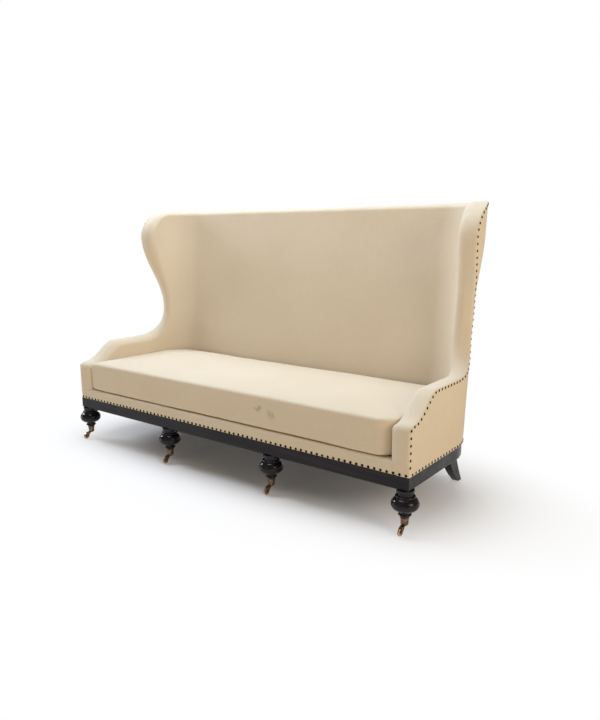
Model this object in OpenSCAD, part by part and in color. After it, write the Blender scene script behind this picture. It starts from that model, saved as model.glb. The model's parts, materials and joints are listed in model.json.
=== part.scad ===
// High back settee: an upholstered bench on turned front legs with brass castors.
// X runs along the seat, Y from front to back, Z up. Lengths are millimetres.
// The upholstered walls are drawn on an unrolled sheet: a is the distance back from the
// front along the outside, z is the height and t the depth in from the outside face.

/* [Overall] */
// Length over the outside arms
settee_length = 2200; // [1700:10:2500]
// Depth of the show-wood rail, front to back
rail_depth = 735; // [690:5:820]
// Height of the top edge of the back
back_height = 1364; // [1330:2:1440]
// Outside radius of the rounded rear corners
corner_r = 270; // [240:5:285]

/* [Show-wood rail] */
// Height of the top of the rail above the floor
rail_top = 253; // [250:1:262]
// Height of the rail itself
rail_height = 60; // [50:1:62]
// Thickness of the rail, outside to inside
rail_width = 66; // [60:1:80]
// Radius of the rounded lower outside edge
rail_round = 8; // [4:1:12]

/* [Arms, wings and back] */
// Thickness of an arm or wing
side_thick = 86; // [80:1:96]
// Thickness of the back
back_thick = 68; // [64:1:78]
// Thickness of the inside padding
pad_thick = 33; // [28:1:36]
// Thickness of the outside cover with its wadding
cover_thick = 4; // [3:0.5:6]
// How far the wings lean outwards at the top
wing_flare = 25; // [0:1:40]
// Height where the wings start to lean out
flare_start = 888; // [860:4:900]
// Height where they are fully out
flare_end = 1205; // [1180:5:1225]
// How far the back cover stands behind the show-wood rail
back_overhang = 12; // [6:1:16]
// Depth of the rolled edge of wings and back
wing_roll = 38; // [32:1:42]
// Depth of the rolled edge of the arms
arm_roll = 22; // [18:1:28]
// Depth of the rolled edge along the top
top_roll = 22; // [18:1:30]

/* [Line of the arm and wing] */
// Height where the arm front starts to round over
arm_front_height = 446; // [436:1:450]
// Height of the low lip at the arm front
arm_lip_height = 466; // [458:1:474]
// Distance of that lip from the front
arm_lip_back = 30; // [24:1:36]
// Height of the level part of the arm
arm_height = 574; // [560:1:590]
// Where the level part starts
arm_level_start = 235; // [220:5:250]
// Where the level part ends and the wing begins to rise
arm_level_end = 440; // [420:5:450]
// Distance back to the waist of the wing
waist_back = 649; // [635:2:660]
// Height of the waist
waist_height = 762; // [740:2:790]
// Distance back to the nose of the wing
nose_back = 523; // [510:1:535]
// Distance of the nose below the top edge
nose_drop = 162; // [150:2:180]
// Distance back to where the wing meets the top edge
corner_back = 748; // [724:4:768]

/* [Seat] */
// Depth of the padded border in front of the seat frame
border_depth = 42; // [30:1:50]
// Height of the cushion's underside
seat_height = 311; // [308:1:318]
// Height of the seat rails
seat_rail_height = 37; // [30:1:38]
// Thickness of the seat rails
seat_rail_width = 45; // [35:1:48]
// Width of one strap of webbing
web_width = 50; // [40:1:60]
// Thickness of the webbing
web_thick = 1.5; // [1:0.1:1.6]
// Straps from front to back
web_count = 16; // [12:1:18]

/* [Cushion] */
// Height of the cushion's edge, seam to seam
cushion_edge = 164; // [120:1:176]
// How much its top rises to the middle
cushion_crown = 22; // [10:1:34]
// How far its front stands behind the front of the rail
cushion_setback = 6; // [0:1:15]
// Rounding of its front corners, seen from above
cushion_corner = 34; // [20:1:50]

/* [Front legs] */
// Distance of a leg's axis from the front face and the ends of the rail
leg_inset = 30; // [30:1:38]
// Diameter of the collar under the rail
collar_d = 75; // [66:1:80]
// Diameter of the neck
neck_d = 62; // [54:1:64]
// Diameter of the ring above the bulb
ring_d = 86; // [80:1:92]
// Largest diameter of the bulb
bulb_d = 118; // [112:1:122]
// Height of the bulb
bulb_height = 60; // [56:1:62]
// Height of the bulb's middle above the floor
bulb_mid = 131; // [129:0.5:133]
// Diameter of the lower ring
foot_ring_d = 56; // [50:1:60]
// Length of the dowel that holds a leg in the rail
leg_dowel = 34; // [24:1:38]
// Diameter of that dowel
leg_dowel_d = 26; // [20:1:30]

/* [Castors] */
// Diameter of the wheel
wheel_d = 35; // [32:0.5:36]
// Width of the wheel
wheel_width = 10; // [8:0.5:12]
// How far the wheel trails from the swivel axis
castor_trail = 36; // [34:0.5:40]
// Diameter of the socket cup at its top
cup_d = 37; // [34:0.5:40]
// Height of the top of the cup
cup_top = 72; // [70:0.5:74]
// Height of the underside of the cup
cup_bottom = 40; // [39:0.5:42]
// Diameter of the swivel pin
swivel_d = 7; // [5:0.5:8]
// Diameter of the axle
axle_d = 4; // [3:0.5:5]

/* [Rear legs] */
// Depth of a rear leg at its top, front to back
rear_leg_top = 80; // [66:1:90]
// Thickness of the foot, both ways
rear_leg_foot = 34; // [28:1:38]
// Distance of the foot's middle from the settee's middle plane, as a distance in from the end
rear_foot_in = 100; // [90:1:120]
// Distance of the foot's middle behind the front of the rail
rear_foot_back = 719; // [700:1:725]

/* [Nails] */
// Diameter of a nail's head
nail_d = 11; // [8:0.5:12]
// Height of the domed head
nail_rise = 2.6; // [2:0.1:3]
// Spacing of the nails above the rail
nail_pitch = 29.5; // [24:0.5:34]
// Spacing of the nails along the rolled edge
edge_pitch = 31; // [26:0.5:36]

/* [Hidden] */

// Small clearance between soft pieces and what they lie on
soft_gap = 0.3;
// Running clearance of a pin in its hole, on the radius
running_gap = 0.05;
// Overrun of a cut past the face it opens
overrun = 5;
// Rise of the back's lean for each unit of height
rake_share = 0.095;
// How square the inner side of the arm's roll is: one is round
arm_round_share = 0.75;
// The same at the foot of the arm's front
low_round_share = 0.3;
// Depth and squareness of the crisp outer edge that every roll ends in
outer_roll = 5;
outer_round_share = 0.45;
// Share of the rise from arm to waist over which the roll turns round
blend_share = 0.66;
// Bands across the roll, along the rounded corner and up the wing
roll_steps = 9;
corner_steps = 13;
fillet_steps = 9;
wing_steps = 9;
top_steps = 9;
lip_steps = 4;
scroll_steps = 8;
// Handles of the curves, as shares of the stretch that they shape
level_handle_share = 0.56;
waist_low_share = 0.742;
waist_high_share = 0.347;
nose_low_share = 0.344;
nose_high_share = 0.38;
corner_handle_share = 0.766;
scroll_low_share = 0.4;
scroll_high_share = 0.3;
lip_handle_share = 0.6;

// Gap under a nail's head, and its distance in from the edge
nail_lift = 0.3;
nail_inset = 7;
edge_end_z = back_height - nail_inset;
nose_height = back_height - nose_drop;

half_length = settee_length / 2;
corner_x = half_length - corner_r;
rail_bottom = rail_top - rail_height;
seat_rail_top = rail_top + seat_rail_height;
pad_bottom = seat_rail_top + 2 * web_thick + soft_gap;
quarter = corner_r * PI / 2;
front_reach = bulb_d / 2 - leg_inset;

leg_step = (settee_length - 2 * leg_inset) / 3;
leg_places = [for (i = [0 : 3]) [-half_length + leg_inset + i * leg_step, leg_inset]];

black_wood = [0.07, 0.07, 0.08];
beech = [0.78, 0.62, 0.42];
brass = [0.66, 0.51, 0.25];
linen = [0.87, 0.81, 0.70];
hessian = [0.62, 0.50, 0.33];
nail_bronze = [0.24, 0.19, 0.12];

function ease(x) = let (c = min(max(x, 0), 1)) c * c * (3 - 2 * c);
function mix(p, q, w) = p + (q - p) * w;
function flare(z) = wing_flare * ease((z - flare_start) / (flare_end - flare_start));
function depth_at(z) = rail_depth + back_overhang + rake_share * (z - rail_top);
function back_y(z, t) = depth_at(z) - t;
function arc_start(z) = depth_at(z) - corner_r;
function arc_end(z) = arc_start(z) + quarter;
function turn(a, z) = 90 * min(max((a - arc_start(z)) / quarter, 0), 1);
function thick(a, z) = mix(side_thick, back_thick, ease((a - arc_start(z)) / quarter));

// The point on the right-hand wall at a along the outside, z up and t in from the outside
function place(a, z, t) =
    let (w = turn(a, z), past = max(a - arc_end(z), 0))
    [corner_x - past + (corner_r + flare(z) - t) * cos(w),
     min(a, arc_start(z)) + (corner_r - t) * sin(w),
     z];

// One cubic curve from p to s with handles q and r
function bezier(p, q, r, s, w) =
    pow(1 - w, 3) * p + 3 * w * pow(1 - w, 2) * q + 3 * w * w * (1 - w) * r + pow(w, 3) * s;
function bezier_slope(p, q, r, s, w) =
    3 * pow(1 - w, 2) * (q - p) + 6 * w * (1 - w) * (r - q) + 3 * w * w * (s - r);
function outward(d) = [-d[1], d[0]] / norm(d);
function arm_blend(z) = ease((z - arm_height) / (waist_height - arm_height) / blend_share);
function top_blend(z) = ease((z - nose_height) / (back_height - nose_height));
function roll_depth(z) = mix(mix(arm_roll, wing_roll, arm_blend(z)), top_roll, top_blend(z));
function round_share(z) =
    let (up = min(max((z - rail_top) / (arm_front_height - rail_top), 0), 1))
    mix(mix(low_round_share, arm_round_share, up), 1, arm_blend(z));
// A sample of the edge: its place, its outward direction, and the depth and form of its roll
function sample(c, n) = [c, n, roll_depth(c[1]), round_share(c[1])];
function curve_samples(p, q, r, s, steps, first) =
    [for (i = [first : steps]) let (w = i / steps)
        sample(bezier(p, q, r, s, w), outward(bezier_slope(p, q, r, s, w)))];

front_low = [0, rail_top];
front_high = [0, arm_front_height];
lip = [arm_lip_back, arm_lip_height];
level_start = [arm_level_start, arm_height];
level_end = [arm_level_end, arm_height];
waist = [waist_back, waist_height];
nose = [nose_back, nose_height];
top_corner = [corner_back, back_height];
lip_rise = [0, (arm_lip_height - arm_front_height) * lip_handle_share];
lip_run = [arm_lip_back * lip_handle_share, 0];
scroll_span = [arm_level_start - arm_lip_back, 0];
rise_span = waist - level_end;
lean_span = waist_height - nose_height;
top_span = top_corner - nose;

arm_edge = concat([sample(front_low, [-1, 0])],
    curve_samples(front_high, front_high + lip_rise, lip - lip_run, lip, lip_steps, 0),
    curve_samples(lip, lip + scroll_span * scroll_low_share,
        level_start - scroll_span * scroll_high_share, level_start, scroll_steps, 1),
    [sample(level_end, [0, 1])]);
arm_count = len(arm_edge);
wing_edge = concat(
    curve_samples(level_end, level_end + [rise_span[0] * level_handle_share, 0],
        waist - [0, rise_span[1] * waist_low_share], waist, fillet_steps, 0),
    curve_samples(waist, waist - [0, lean_span * waist_high_share],
        nose + [0, lean_span * nose_low_share], nose, wing_steps, 1),
    curve_samples(nose, nose + [0, top_span[1] * nose_high_share],
        top_corner - [top_span[0] * corner_handle_share, 0], top_corner, top_steps, 1));
wing_count = len(wing_edge);

// Step j round a roll of a depth and a share, as depth from the edge and share of the thickness.
// It starts behind the outside cover, turns over the crisp edge and rounds to the inside face.
function roll_step(depth, share, j) =
    let (w = 180 * (j - 1) / (roll_steps - 1), outer = w < 90, form = outer ? outer_round_share : share)
    [(outer ? outer_roll : depth) * (1 - pow(sin(w), form)),
     (1 - sign(cos(w)) * pow(abs(cos(w)), form)) / 2];
function roll_point(s, j) =
    let (step = roll_step(s[2], s[3], j), at = s[0] - s[1] * (j == 0 ? outer_roll : step[0]))
    place(at[0], at[1], j == 0 ? cover_thick + soft_gap : thick(at[0], at[1]) * step[1]);
// The point of the sheet at d in from the edge and t in from the outside
function inset_point(s, d, t) = let (at = s[0] - s[1] * d) place(at[0], at[1], t);
function inset_place(s, d) = s[0] - s[1] * d;

// Two triangles for the four corners of a band
function quad(p, q, r, s) = [[p, q, r], [p, r, s]];
function flat_list(lists) = [for (l = lists) each l];

// The back nails stand furthest back
back_reach = back_y(edge_end_z, 0) + (nail_lift + nail_rise) * cos(atan(rake_share));
y_middle = (back_reach - front_reach) / 2;
module home() { translate([0, -y_middle, 0]) children(); }
module mirrored(side) { mirror([side < 0 ? 1 : 0, 0, 0]) children(); }
// A profile drawn as depth and height, run along the length between two places
module along(x0, x1) {
    translate([x0, 0, 0]) rotate([90, 0, 90]) linear_extrude(x1 - x0) children();
}

// Rail of dark polished wood under the upholstery
module rail_section() {
    difference() {
        translate([0, rail_bottom]) square([rail_width, rail_height]);
        translate([0, rail_bottom]) difference() {
            translate([-rail_round, -rail_round]) square(2 * rail_round);
            translate([rail_round, rail_round]) circle(rail_round, $fn = 48);
        }
    }
}
module leg_holes() {
    for (p = leg_places)
        translate([p[0], p[1], rail_bottom - overrun])
            cylinder(d = leg_dowel_d + 2 * running_gap, h = leg_dowel + overrun + running_gap, $fn = 48);
}
// The half of one front corner that a mitre leaves to the side rail or to the front rail
module mitre_wedge(outer) {
    far = half_length + overrun;
    near = half_length - rail_width - overrun;
    translate([0, 0, rail_bottom - overrun]) linear_extrude(rail_height + 2 * overrun)
        polygon([[far, -overrun], [near, rail_width + overrun],
                 outer ? [far, rail_width + overrun] : [near, -overrun]]);
}
module rail_front() color(black_wood) home() difference() {
    along(-half_length, half_length) rail_section();
    for (side = [-1, 1]) mirrored(side) mitre_wedge(true);
    leg_holes();
}
module rail_side(side) color(black_wood) home() mirrored(side) difference() {
    translate([half_length, 0, 0]) rotate([90, 0, 180]) linear_extrude(rail_depth - corner_r) rail_section();
    mitre_wedge(false);
    leg_holes();
}
module rail_corner(side) color(black_wood) home() mirrored(side)
    translate([corner_x, rail_depth - corner_r, 0]) rotate_extrude(angle = 90, $fn = 120)
        translate([corner_r, 0]) mirror([1, 0]) rail_section();
module rail_back() color(black_wood) home()
    translate([0, rail_depth, 0]) mirror([0, 1, 0]) along(-corner_x, corner_x) rail_section();

// Turned front leg, ebonised and polished
collar_height = 13;
neck_top = rail_bottom - collar_height;
ring_half = 5;
ring_lift = 2;
ring_mid = bulb_mid + bulb_height / 2 + ring_lift;
neck_low_d = 66;
stem_d = 46;
stem_top = 96;
foot_ring_mid = 84;
foot_ring_half = 5;
taper_d = 42;
groove_r = 1.2;
groove_step = 7;
groove_rows = [-1.5, -0.5, 0.5, 1.5];
bulb_low = bulb_mid - bulb_height / 2;
bulb_in = (bulb_d - bulb_height) / 2;
cup_wall = 2.5;
collar_bead = 4;
module front_leg(i) color(black_wood) home() translate(leg_places[i]) difference() {
    union() {
        rotate_extrude($fn = 96) {
            // Collar with a bead below it
            translate([0, neck_top]) square([collar_d / 2, rail_bottom - neck_top]);
            translate([collar_d / 2 - collar_bead, neck_top]) circle(collar_bead, $fn = 32);
            // Neck
            polygon([[0, ring_mid], [neck_low_d / 2, ring_mid], [neck_d / 2, neck_top - collar_bead],
                     [neck_d / 2, neck_top + collar_bead], [0, neck_top + collar_bead]]);
            // Ring, bulb and lower stem
            translate([0, ring_mid - ring_half]) square([ring_d / 2 - ring_half, 2 * ring_half]);
            translate([ring_d / 2 - ring_half, ring_mid]) circle(ring_half, $fn = 32);
            difference() {
                union() {
                    translate([bulb_in, bulb_mid]) circle(bulb_height / 2, $fn = 64);
                    translate([0, bulb_low]) square([bulb_in, bulb_height]);
                }
                translate([-bulb_d, 0]) square([bulb_d, back_height]);
                for (k = groove_rows)
                    translate([bulb_edge(k * groove_step), bulb_mid + k * groove_step])
                        circle(groove_r, $fn = 16);
            }
            polygon([[0, cup_top + running_gap], [taper_d / 2 - cup_wall, cup_top + running_gap],
                     [taper_d / 2, cup_top + cup_wall],
                     [stem_d / 2, foot_ring_mid], [stem_d / 2, stem_top],
                     [foot_ring_d / 2 + groove_r, bulb_low + groove_r], [0, bulb_low + groove_r]]);
            translate([0, foot_ring_mid - foot_ring_half])
                square([foot_ring_d / 2 - foot_ring_half, 2 * foot_ring_half]);
            translate([foot_ring_d / 2 - foot_ring_half, foot_ring_mid]) circle(foot_ring_half, $fn = 32);
            // Tapered end that stands in the cup
            polygon(spigot_profile(0, cup_top + cup_wall));
        }
        translate([0, 0, rail_bottom]) cylinder(d = leg_dowel_d, h = leg_dowel, $fn = 48);
    }
}
function bulb_edge(dz) = bulb_in + sqrt(pow(bulb_height / 2, 2) - dz * dz);

// Brass cup that holds the end of the leg, with the fixed swivel pin below it
cup_floor = 4;
cup_rim = 2;
cup_low_d = 31;
pin_head_d = 10.6;
pin_head = 3;
spigot_low = cup_bottom + cup_floor + soft_gap;
spigot_low_r = cup_low_d / 2 - cup_wall;
spigot_slope = (cup_d / 2 - cup_wall - spigot_low_r) / (cup_top - spigot_low);
function spigot_profile(gap, top) = [[0, spigot_low - gap], [spigot_low_r + gap, spigot_low - gap],
    [spigot_low_r + gap + spigot_slope * (top - spigot_low), top], [0, top]];
horn_plate = 4;
horn_gap = 0.4;
horn_top = cup_bottom - horn_gap;
pin_low = horn_top - horn_plate - horn_gap - pin_head;
module castor_cup(i) color(brass) home() translate(leg_places[i]) {
    difference() {
        rotate_extrude($fn = 64) {
            polygon([[0, cup_bottom], [cup_low_d / 2, cup_bottom], [cup_d / 2, cup_top], [0, cup_top]]);
            translate([cup_d / 2 - cup_rim / 2, cup_top - cup_rim]) circle(cup_rim, $fn = 24);
            translate([cup_low_d / 2 - cup_rim / 2, cup_bottom + cup_rim]) circle(cup_rim, $fn = 24);
        }
        rotate_extrude($fn = 64) polygon(spigot_profile(running_gap, cup_top + overrun));
    }
    translate([0, 0, pin_low]) cylinder(d = swivel_d, h = cup_bottom - pin_low, $fn = 48);
    translate([0, 0, pin_low]) cylinder(d = pin_head_d, h = pin_head, $fn = 48);
}

// Forked horn that turns on the pin and carries the wheel in front of it
horn_d = 24;
cheek = 3;
cheek_gap = 0.6;
cheek_inside = wheel_width / 2 + cheek_gap;
axle_boss_d = 14;
wheel_mid = wheel_d / 2;
axle_y = -castor_trail;
cheek_neck = 7;
cheek_reach = 9;
horn_front = axle_y - axle_boss_d / 2;
horn_back = axle_y + axle_boss_d / 2;
module cheek_outline() {
    // Arm of the fork, from the plate down and forward to the axle
    difference() {
        union() {
            polygon([[horn_d / 2 - cheek_neck, horn_top], [-horn_d / 2, horn_top],
                     [horn_front + cheek, wheel_mid + axle_boss_d / 2],
                     [axle_y, wheel_mid - axle_boss_d / 2],
                     [horn_back + cheek, wheel_mid - axle_boss_d / 3],
                     [-cheek_reach, horn_top - horn_plate - cheek],
                     [horn_d / 2 - cheek_neck, horn_top - horn_plate]]);
            translate([axle_y, wheel_mid]) circle(d = axle_boss_d, $fn = 48);
        }
        translate([axle_y, wheel_mid]) circle(d = axle_d + 2 * running_gap, $fn = 32);
    }
}
module castor_horn(i) color(brass) home() translate(leg_places[i]) difference() {
    union() {
        translate([0, 0, horn_top - horn_plate]) cylinder(d = horn_d, h = horn_plate, $fn = 48);
        along(cheek_inside, cheek_inside + cheek) cheek_outline();
        along(-cheek_inside - cheek, -cheek_inside) cheek_outline();
        translate([-cheek_inside - cheek, -horn_d / 2 - cheek, horn_top - horn_plate])
            cube([2 * (cheek_inside + cheek), horn_d / 2, horn_plate]);
    }
    translate([0, 0, pin_low]) cylinder(d = swivel_d + 2 * running_gap, h = cup_bottom, $fn = 48);
}
wheel_lip = 1.5;
module castor_wheel(i) color(brass) home() translate(leg_places[i]) translate([0, axle_y, wheel_mid])
    rotate([0, 90, 0]) rotate_extrude($fn = 64) {
        bore = axle_d / 2 + running_gap;
        side = wheel_width / 2;
        polygon([[bore, -side], [wheel_mid - wheel_lip, -side], [wheel_mid, -side + wheel_lip],
                 [wheel_mid, side - wheel_lip], [wheel_mid - wheel_lip, side], [bore, side]]);
    }
axle_head = 1.5;
axle_head_d = 7;
module castor_axle(i) color(brass) home()
    translate([leg_places[i][0], leg_places[i][1] + axle_y, wheel_mid]) rotate([0, 90, 0]) {
        translate([0, 0, -cheek_inside - cheek - running_gap])
            cylinder(d = axle_d, h = 2 * (cheek_inside + cheek + running_gap), $fn = 32);
        for (side = [-1, 1])
            translate([0, 0, side * (cheek_inside + cheek + running_gap + axle_head / 2) - axle_head / 2])
                cylinder(d = axle_head_d, h = axle_head, $fn = 32);
    }

// Square rear leg, swept back and tapered
rear_leg_steps = 9;
rear_leg_width = 50;
rear_leg_lead = 97;
rear_sweep_power = 1.7;
rear_leg_splay = 14;
rear_taper_power = 2.4;
function rear_section(w) =
    let (y = rear_foot_back - rear_leg_lead * (1 - pow(1 - w, rear_sweep_power)), z = rail_bottom * w,
         dy = mix(rear_leg_foot, rear_leg_top, 1 - pow(1 - w, rear_taper_power)) / 2,
         dx = mix(rear_leg_foot, rear_leg_width, w) / 2,
         x = half_length - rear_foot_in - rear_leg_splay * w)
    [[x - dx, y - dy, z], [x + dx, y - dy, z], [x + dx, y + dy, z], [x - dx, y + dy, z]];
module rear_leg(side) color(black_wood) home() mirrored(side) {
    rings = [for (i = [0 : rear_leg_steps]) rear_section(i / rear_leg_steps)];
    polyhedron(flat_list(rings), concat([[0, 1, 2, 3]],
        [for (i = [0 : rear_leg_steps - 1], k = [0 : 3])
            each quad(4 * i + k, 4 * (i + 1) + k, 4 * (i + 1) + (k + 1) % 4, 4 * i + (k + 1) % 4)],
        [[3, 2, 1, 0] + [for (k = [0 : 3]) 4 * rear_leg_steps]]), convexity = 4);
}

// Beech seat frame on top of the show-wood rail
seat_rail_set = 6;
seat_front = border_depth + soft_gap;
seat_back = rail_depth - seat_rail_set;
seat_side = half_length - cover_thick - soft_gap;
post_width = 45;
post_front = arm_roll + soft_gap;
post_back = post_front + post_width;
module beech_bar(x0, x1, y0, y1, z0, z1) {
    translate([x0, y0, z0]) cube([x1 - x0, y1 - y0, z1 - z0]);
}
module seat_rail_front() color(beech) home()
    beech_bar(-inner_half, inner_half, seat_front, seat_front + seat_rail_width,
              rail_top, seat_rail_top);
module seat_rail_back() color(beech) home()
    beech_bar(-corner_x, corner_x, seat_back - seat_rail_width, seat_back, rail_top, seat_rail_top);
module seat_rail_side(side) color(beech) home() mirrored(side)
    beech_bar(seat_side - seat_rail_width, seat_side, post_back + soft_gap, rail_depth - corner_r,
              rail_top, seat_rail_top);
module seat_rail_corners() color(beech) home() for (side = [-1, 1]) mirrored(side)
    translate([corner_x, rail_depth - corner_r, rail_top]) rotate_extrude(angle = 90, $fn = 96)
        translate([seat_arc, 0]) square([seat_rail_width, seat_rail_height]);
seat_arc = corner_r - seat_rail_set - seat_rail_width;
block_height = 38;
cross_width = 45;
cross_step = leg_step / 2;
module cross_rails() color(beech) home() for (side = [-1, 1])
    beech_bar(side * cross_step - cross_width / 2, side * cross_step + cross_width / 2,
              rail_width, rail_depth - rail_width, rail_top - block_height, rail_top);
block_leg = 90;
block_share = 0.72;
module corner_blocks() color(beech) home() for (side = [-1, 1]) mirrored(side) {
    translate([half_length - rail_width, rail_width, rail_top - block_height]) linear_extrude(block_height)
        polygon([[0, 0], [-block_leg, 0], [0, block_leg]]);
    translate([corner_x, rail_depth - corner_r, rail_top - block_height]) linear_extrude(block_height)
        intersection() {
            circle(corner_r - rail_width - soft_gap, $fn = 96);
            rotate(45) translate([block_share * (corner_r - rail_width), -corner_r])
                square([corner_r, 2 * corner_r]);
        }
}

// Raked posts and top rail inside the back, between the padding and the outside cover
post_count = 4;
top_rail_height = 50;
frame_out = cover_thick + soft_gap;
frame_in = back_thick - pad_thick - soft_gap;
frame_top = back_height - top_roll - soft_gap;
module raked(z0, z1) {
    polygon([[back_y(z0, frame_in), z0], [back_y(z0, frame_out), z0],
             [back_y(z1, frame_out), z1], [back_y(z1, frame_in), z1]]);
}
post_x = [for (i = [0 : post_count - 1]) mix(-corner_x, corner_x - post_width, i / (post_count - 1))];
module back_posts() color(beech) home() for (x = post_x)
    along(x, x + post_width) raked(seat_rail_top, frame_top - top_rail_height);
module back_top_rail() color(beech) home() along(-corner_x, corner_x)
    raked(frame_top - top_rail_height, frame_top);

// Room between the curved frame and the padding and cover that lie on it
frame_gap = 1.8;
edge_gap = 3.4;
// A strip of frame in the thickness of the wall, between pairs of places on the sheet
module ribbon(pairs) {
    function ring(p) = [for (c = [[0, 0], [1, 0], [1, 1], [0, 1]])
        let (at = p[c[0]], inner = thick(at[0], at[1]) - pad_thick - frame_gap)
        place(at[0], at[1], c[1] == 0 ? cover_thick + frame_gap : inner)];
    last = len(pairs) - 1;
    polyhedron([for (p = pairs) each ring(p)], concat([[3, 2, 1, 0]],
        [for (i = [0 : last - 1], k = [0 : 3])
            each quad(4 * i + k, 4 * i + (k + 1) % 4, 4 * (i + 1) + (k + 1) % 4, 4 * (i + 1) + k)],
        [[for (k = [0 : 3]) 4 * last + k]]), convexity = 6);
}
function edge_pairs(samples) = [for (s = samples)
    [inset_place(s, s[2] + edge_gap), inset_place(s, s[2] + edge_gap + post_width)]];
arm_post_top = arm_lip_height - arm_roll - edge_gap - soft_gap - post_width;
module arm_post(side) color(beech) home() mirrored(side)
    ribbon([for (z = [rail_top, arm_post_top]) [[post_front, z], [post_back, z]]]);
// The arm rail starts at the lip and follows the top of the arm to its level end
arm_rail_samples = [for (i = [lip_steps + 1 : arm_count - 1]) arm_edge[i]];
module arm_rail(side) color(beech) home() mirrored(side) ribbon(edge_pairs(arm_rail_samples));
wing_post_samples = [for (i = [fillet_steps : wing_count - 1]) wing_edge[i]];
wing_rail_low = frame_top - top_rail_height;
module wing_post(side) color(beech) home() mirrored(side)
    ribbon(concat(
        [for (i = [0 : post_foot_steps - 1]) let (z = mix(seat_rail_top, waist_height, i / post_foot_steps))
            [[post_foot, z], [post_foot + post_width, z]]],
        edge_pairs(wing_post_samples)));
post_foot = waist_back + wing_roll + edge_gap;
post_foot_steps = 4;
module wing_top_rail(side) color(beech) home() mirrored(side)
    ribbon([for (i = [0 : corner_steps])
        [for (z = [wing_rail_low, frame_top])
            [mix(corner_back + soft_gap, arc_end(z), i / corner_steps), z]]]);

// Straps of webbing over the seat frame, the seat platform on them and the dust cover below
long_straps = 5;
strap_lap = 14;
strap_arc = seat_arc + strap_lap;
strap_step = (settee_length - 2 * (side_thick + web_width)) / (web_count - 1);
long_step = (seat_back - seat_front - 2 * seat_rail_width) / (long_straps + 1);
inner_radius = corner_r - back_thick - soft_gap;
seat_inner_back = depth_at(pad_bottom) - back_thick - soft_gap;
inner_half = half_length - side_thick - soft_gap;
module webbing() color(hessian) home() {
    for (i = [0 : web_count - 1])
        translate([-half_length + side_thick + web_width / 2 + i * strap_step, seat_front, seat_rail_top])
            cube([web_width, strap_end(i) - seat_front, web_thick]);
    for (k = [1 : long_straps]) {
        y = seat_front + seat_rail_width + k * long_step;
        past = max(y + web_width / 2 - rail_depth + corner_r, 0);
        reach = corner_x + sqrt(pow(strap_arc, 2) - past * past);
        translate([-reach, y - web_width / 2, seat_rail_top + web_thick])
            cube([2 * reach, web_width, web_thick]);
    }
}
function strap_end(i) = let (x = abs(-half_length + side_thick + web_width + i * strap_step) + web_width / 2)
    rail_depth - corner_r + sqrt(pow(strap_arc, 2) - pow(max(x - corner_x, 0), 2));
module seat_platform() color(hessian) home() translate([0, 0, pad_bottom])
    linear_extrude(seat_height - soft_gap - pad_bottom) {
        y_arc = seat_inner_back - inner_radius;
        translate([-inner_half, seat_front]) square([2 * inner_half, y_arc - seat_front]);
        translate([-inner_half + inner_radius, y_arc - overrun])
            square([2 * (inner_half - inner_radius), inner_radius + overrun]);
        for (side = [-1, 1])
            translate([side * (inner_half - inner_radius), y_arc]) circle(inner_radius, $fn = 96);
    }
cloth_thick = 1.2;
module dust_cover() color(black_wood) home() translate([0, 0, rail_top - block_height - cloth_thick])
    linear_extrude(cloth_thick) {
        side = half_length - rail_width;
        back = rail_depth - corner_r;
        translate([-side, rail_width]) square([2 * side, back - rail_width]);
        translate([-corner_x, back - overrun]) square([2 * corner_x, corner_r - rail_width + overrun]);
        for (x = [-corner_x, corner_x])
            translate([x, back]) circle(corner_r - rail_width - soft_gap, $fn = 96);
    }
border_round = 14;
module seat_border() color(linen) home() along(-inner_half, inner_half) {
    translate([0, rail_top]) square([border_depth, seat_height - soft_gap - border_round - rail_top]);
    translate([border_round, rail_top])
        square([border_depth - border_round, seat_height - soft_gap - rail_top]);
    translate([border_round, seat_height - soft_gap - border_round]) circle(border_round, $fn = 48);
}

// Padding of one arm: the rolled edge and the skin behind it
module inside_arm(side) color(linen) home() mirrored(side) arm_padding();
module arm_padding() {
    m = roll_steps + 1;
    last = arm_count - 1;
    rolls = [for (s = arm_edge, j = [0 : roll_steps]) roll_point(s, j)];
    hidden = [for (s = arm_edge) inset_point(s, s[2], side_thick - pad_thick)];
    feet = [[arm_level_end, pad_bottom], [post_back, pad_bottom], [post_back, rail_top]];
    corners = [for (t = [side_thick, side_thick - pad_thick], at = feet) place(at[0], at[1], t)];
    function roll(i, j) = i * m + j;
    function back(i) = arm_count * m + i;
    function corner(i) = arm_count * (m + 1) + i;
    faces = concat(
        [for (i = [0 : last - 1], j = [0 : roll_steps - 1])
            each quad(roll(i, j), roll(i + 1, j), roll(i + 1, j + 1), roll(i, j + 1))],
        [for (i = [0 : last - 1]) each quad(roll(i, 0), back(i), back(i + 1), roll(i + 1, 0))],
        [concat([for (i = [0 : last]) roll(i, roll_steps)], [corner(0), corner(1), corner(2)])],
        [concat([for (i = [last : -1 : 0]) back(i)], [corner(5), corner(4), corner(3)])],
        [for (j = [1 : roll_steps - 1]) [roll(0, 0), roll(0, j), roll(0, j + 1)]],
        [[roll(0, 0), roll(0, roll_steps), back(0)]],
        [for (j = [1 : roll_steps - 1]) [roll(last, 0), roll(last, j + 1), roll(last, j)]],
        [[roll(last, 0), back(last), roll(last, roll_steps)]],
        [[roll(0, roll_steps), corner(2), corner(5), back(0)]],
        [[roll(last, roll_steps), back(last), corner(3), corner(0)]],
        [[corner(2), corner(1), corner(4), corner(5)], [corner(1), corner(0), corner(3), corner(4)]]);
    polyhedron(concat(rolls, hidden, corners), faces, convexity = 8);
}

// Padding of one wing and the rounded corner behind it
low_rows = [pad_bottom, (pad_bottom + arm_height - arm_roll) / 2];
low_count = len(low_rows);
row_count = low_count + wing_count;
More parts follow.
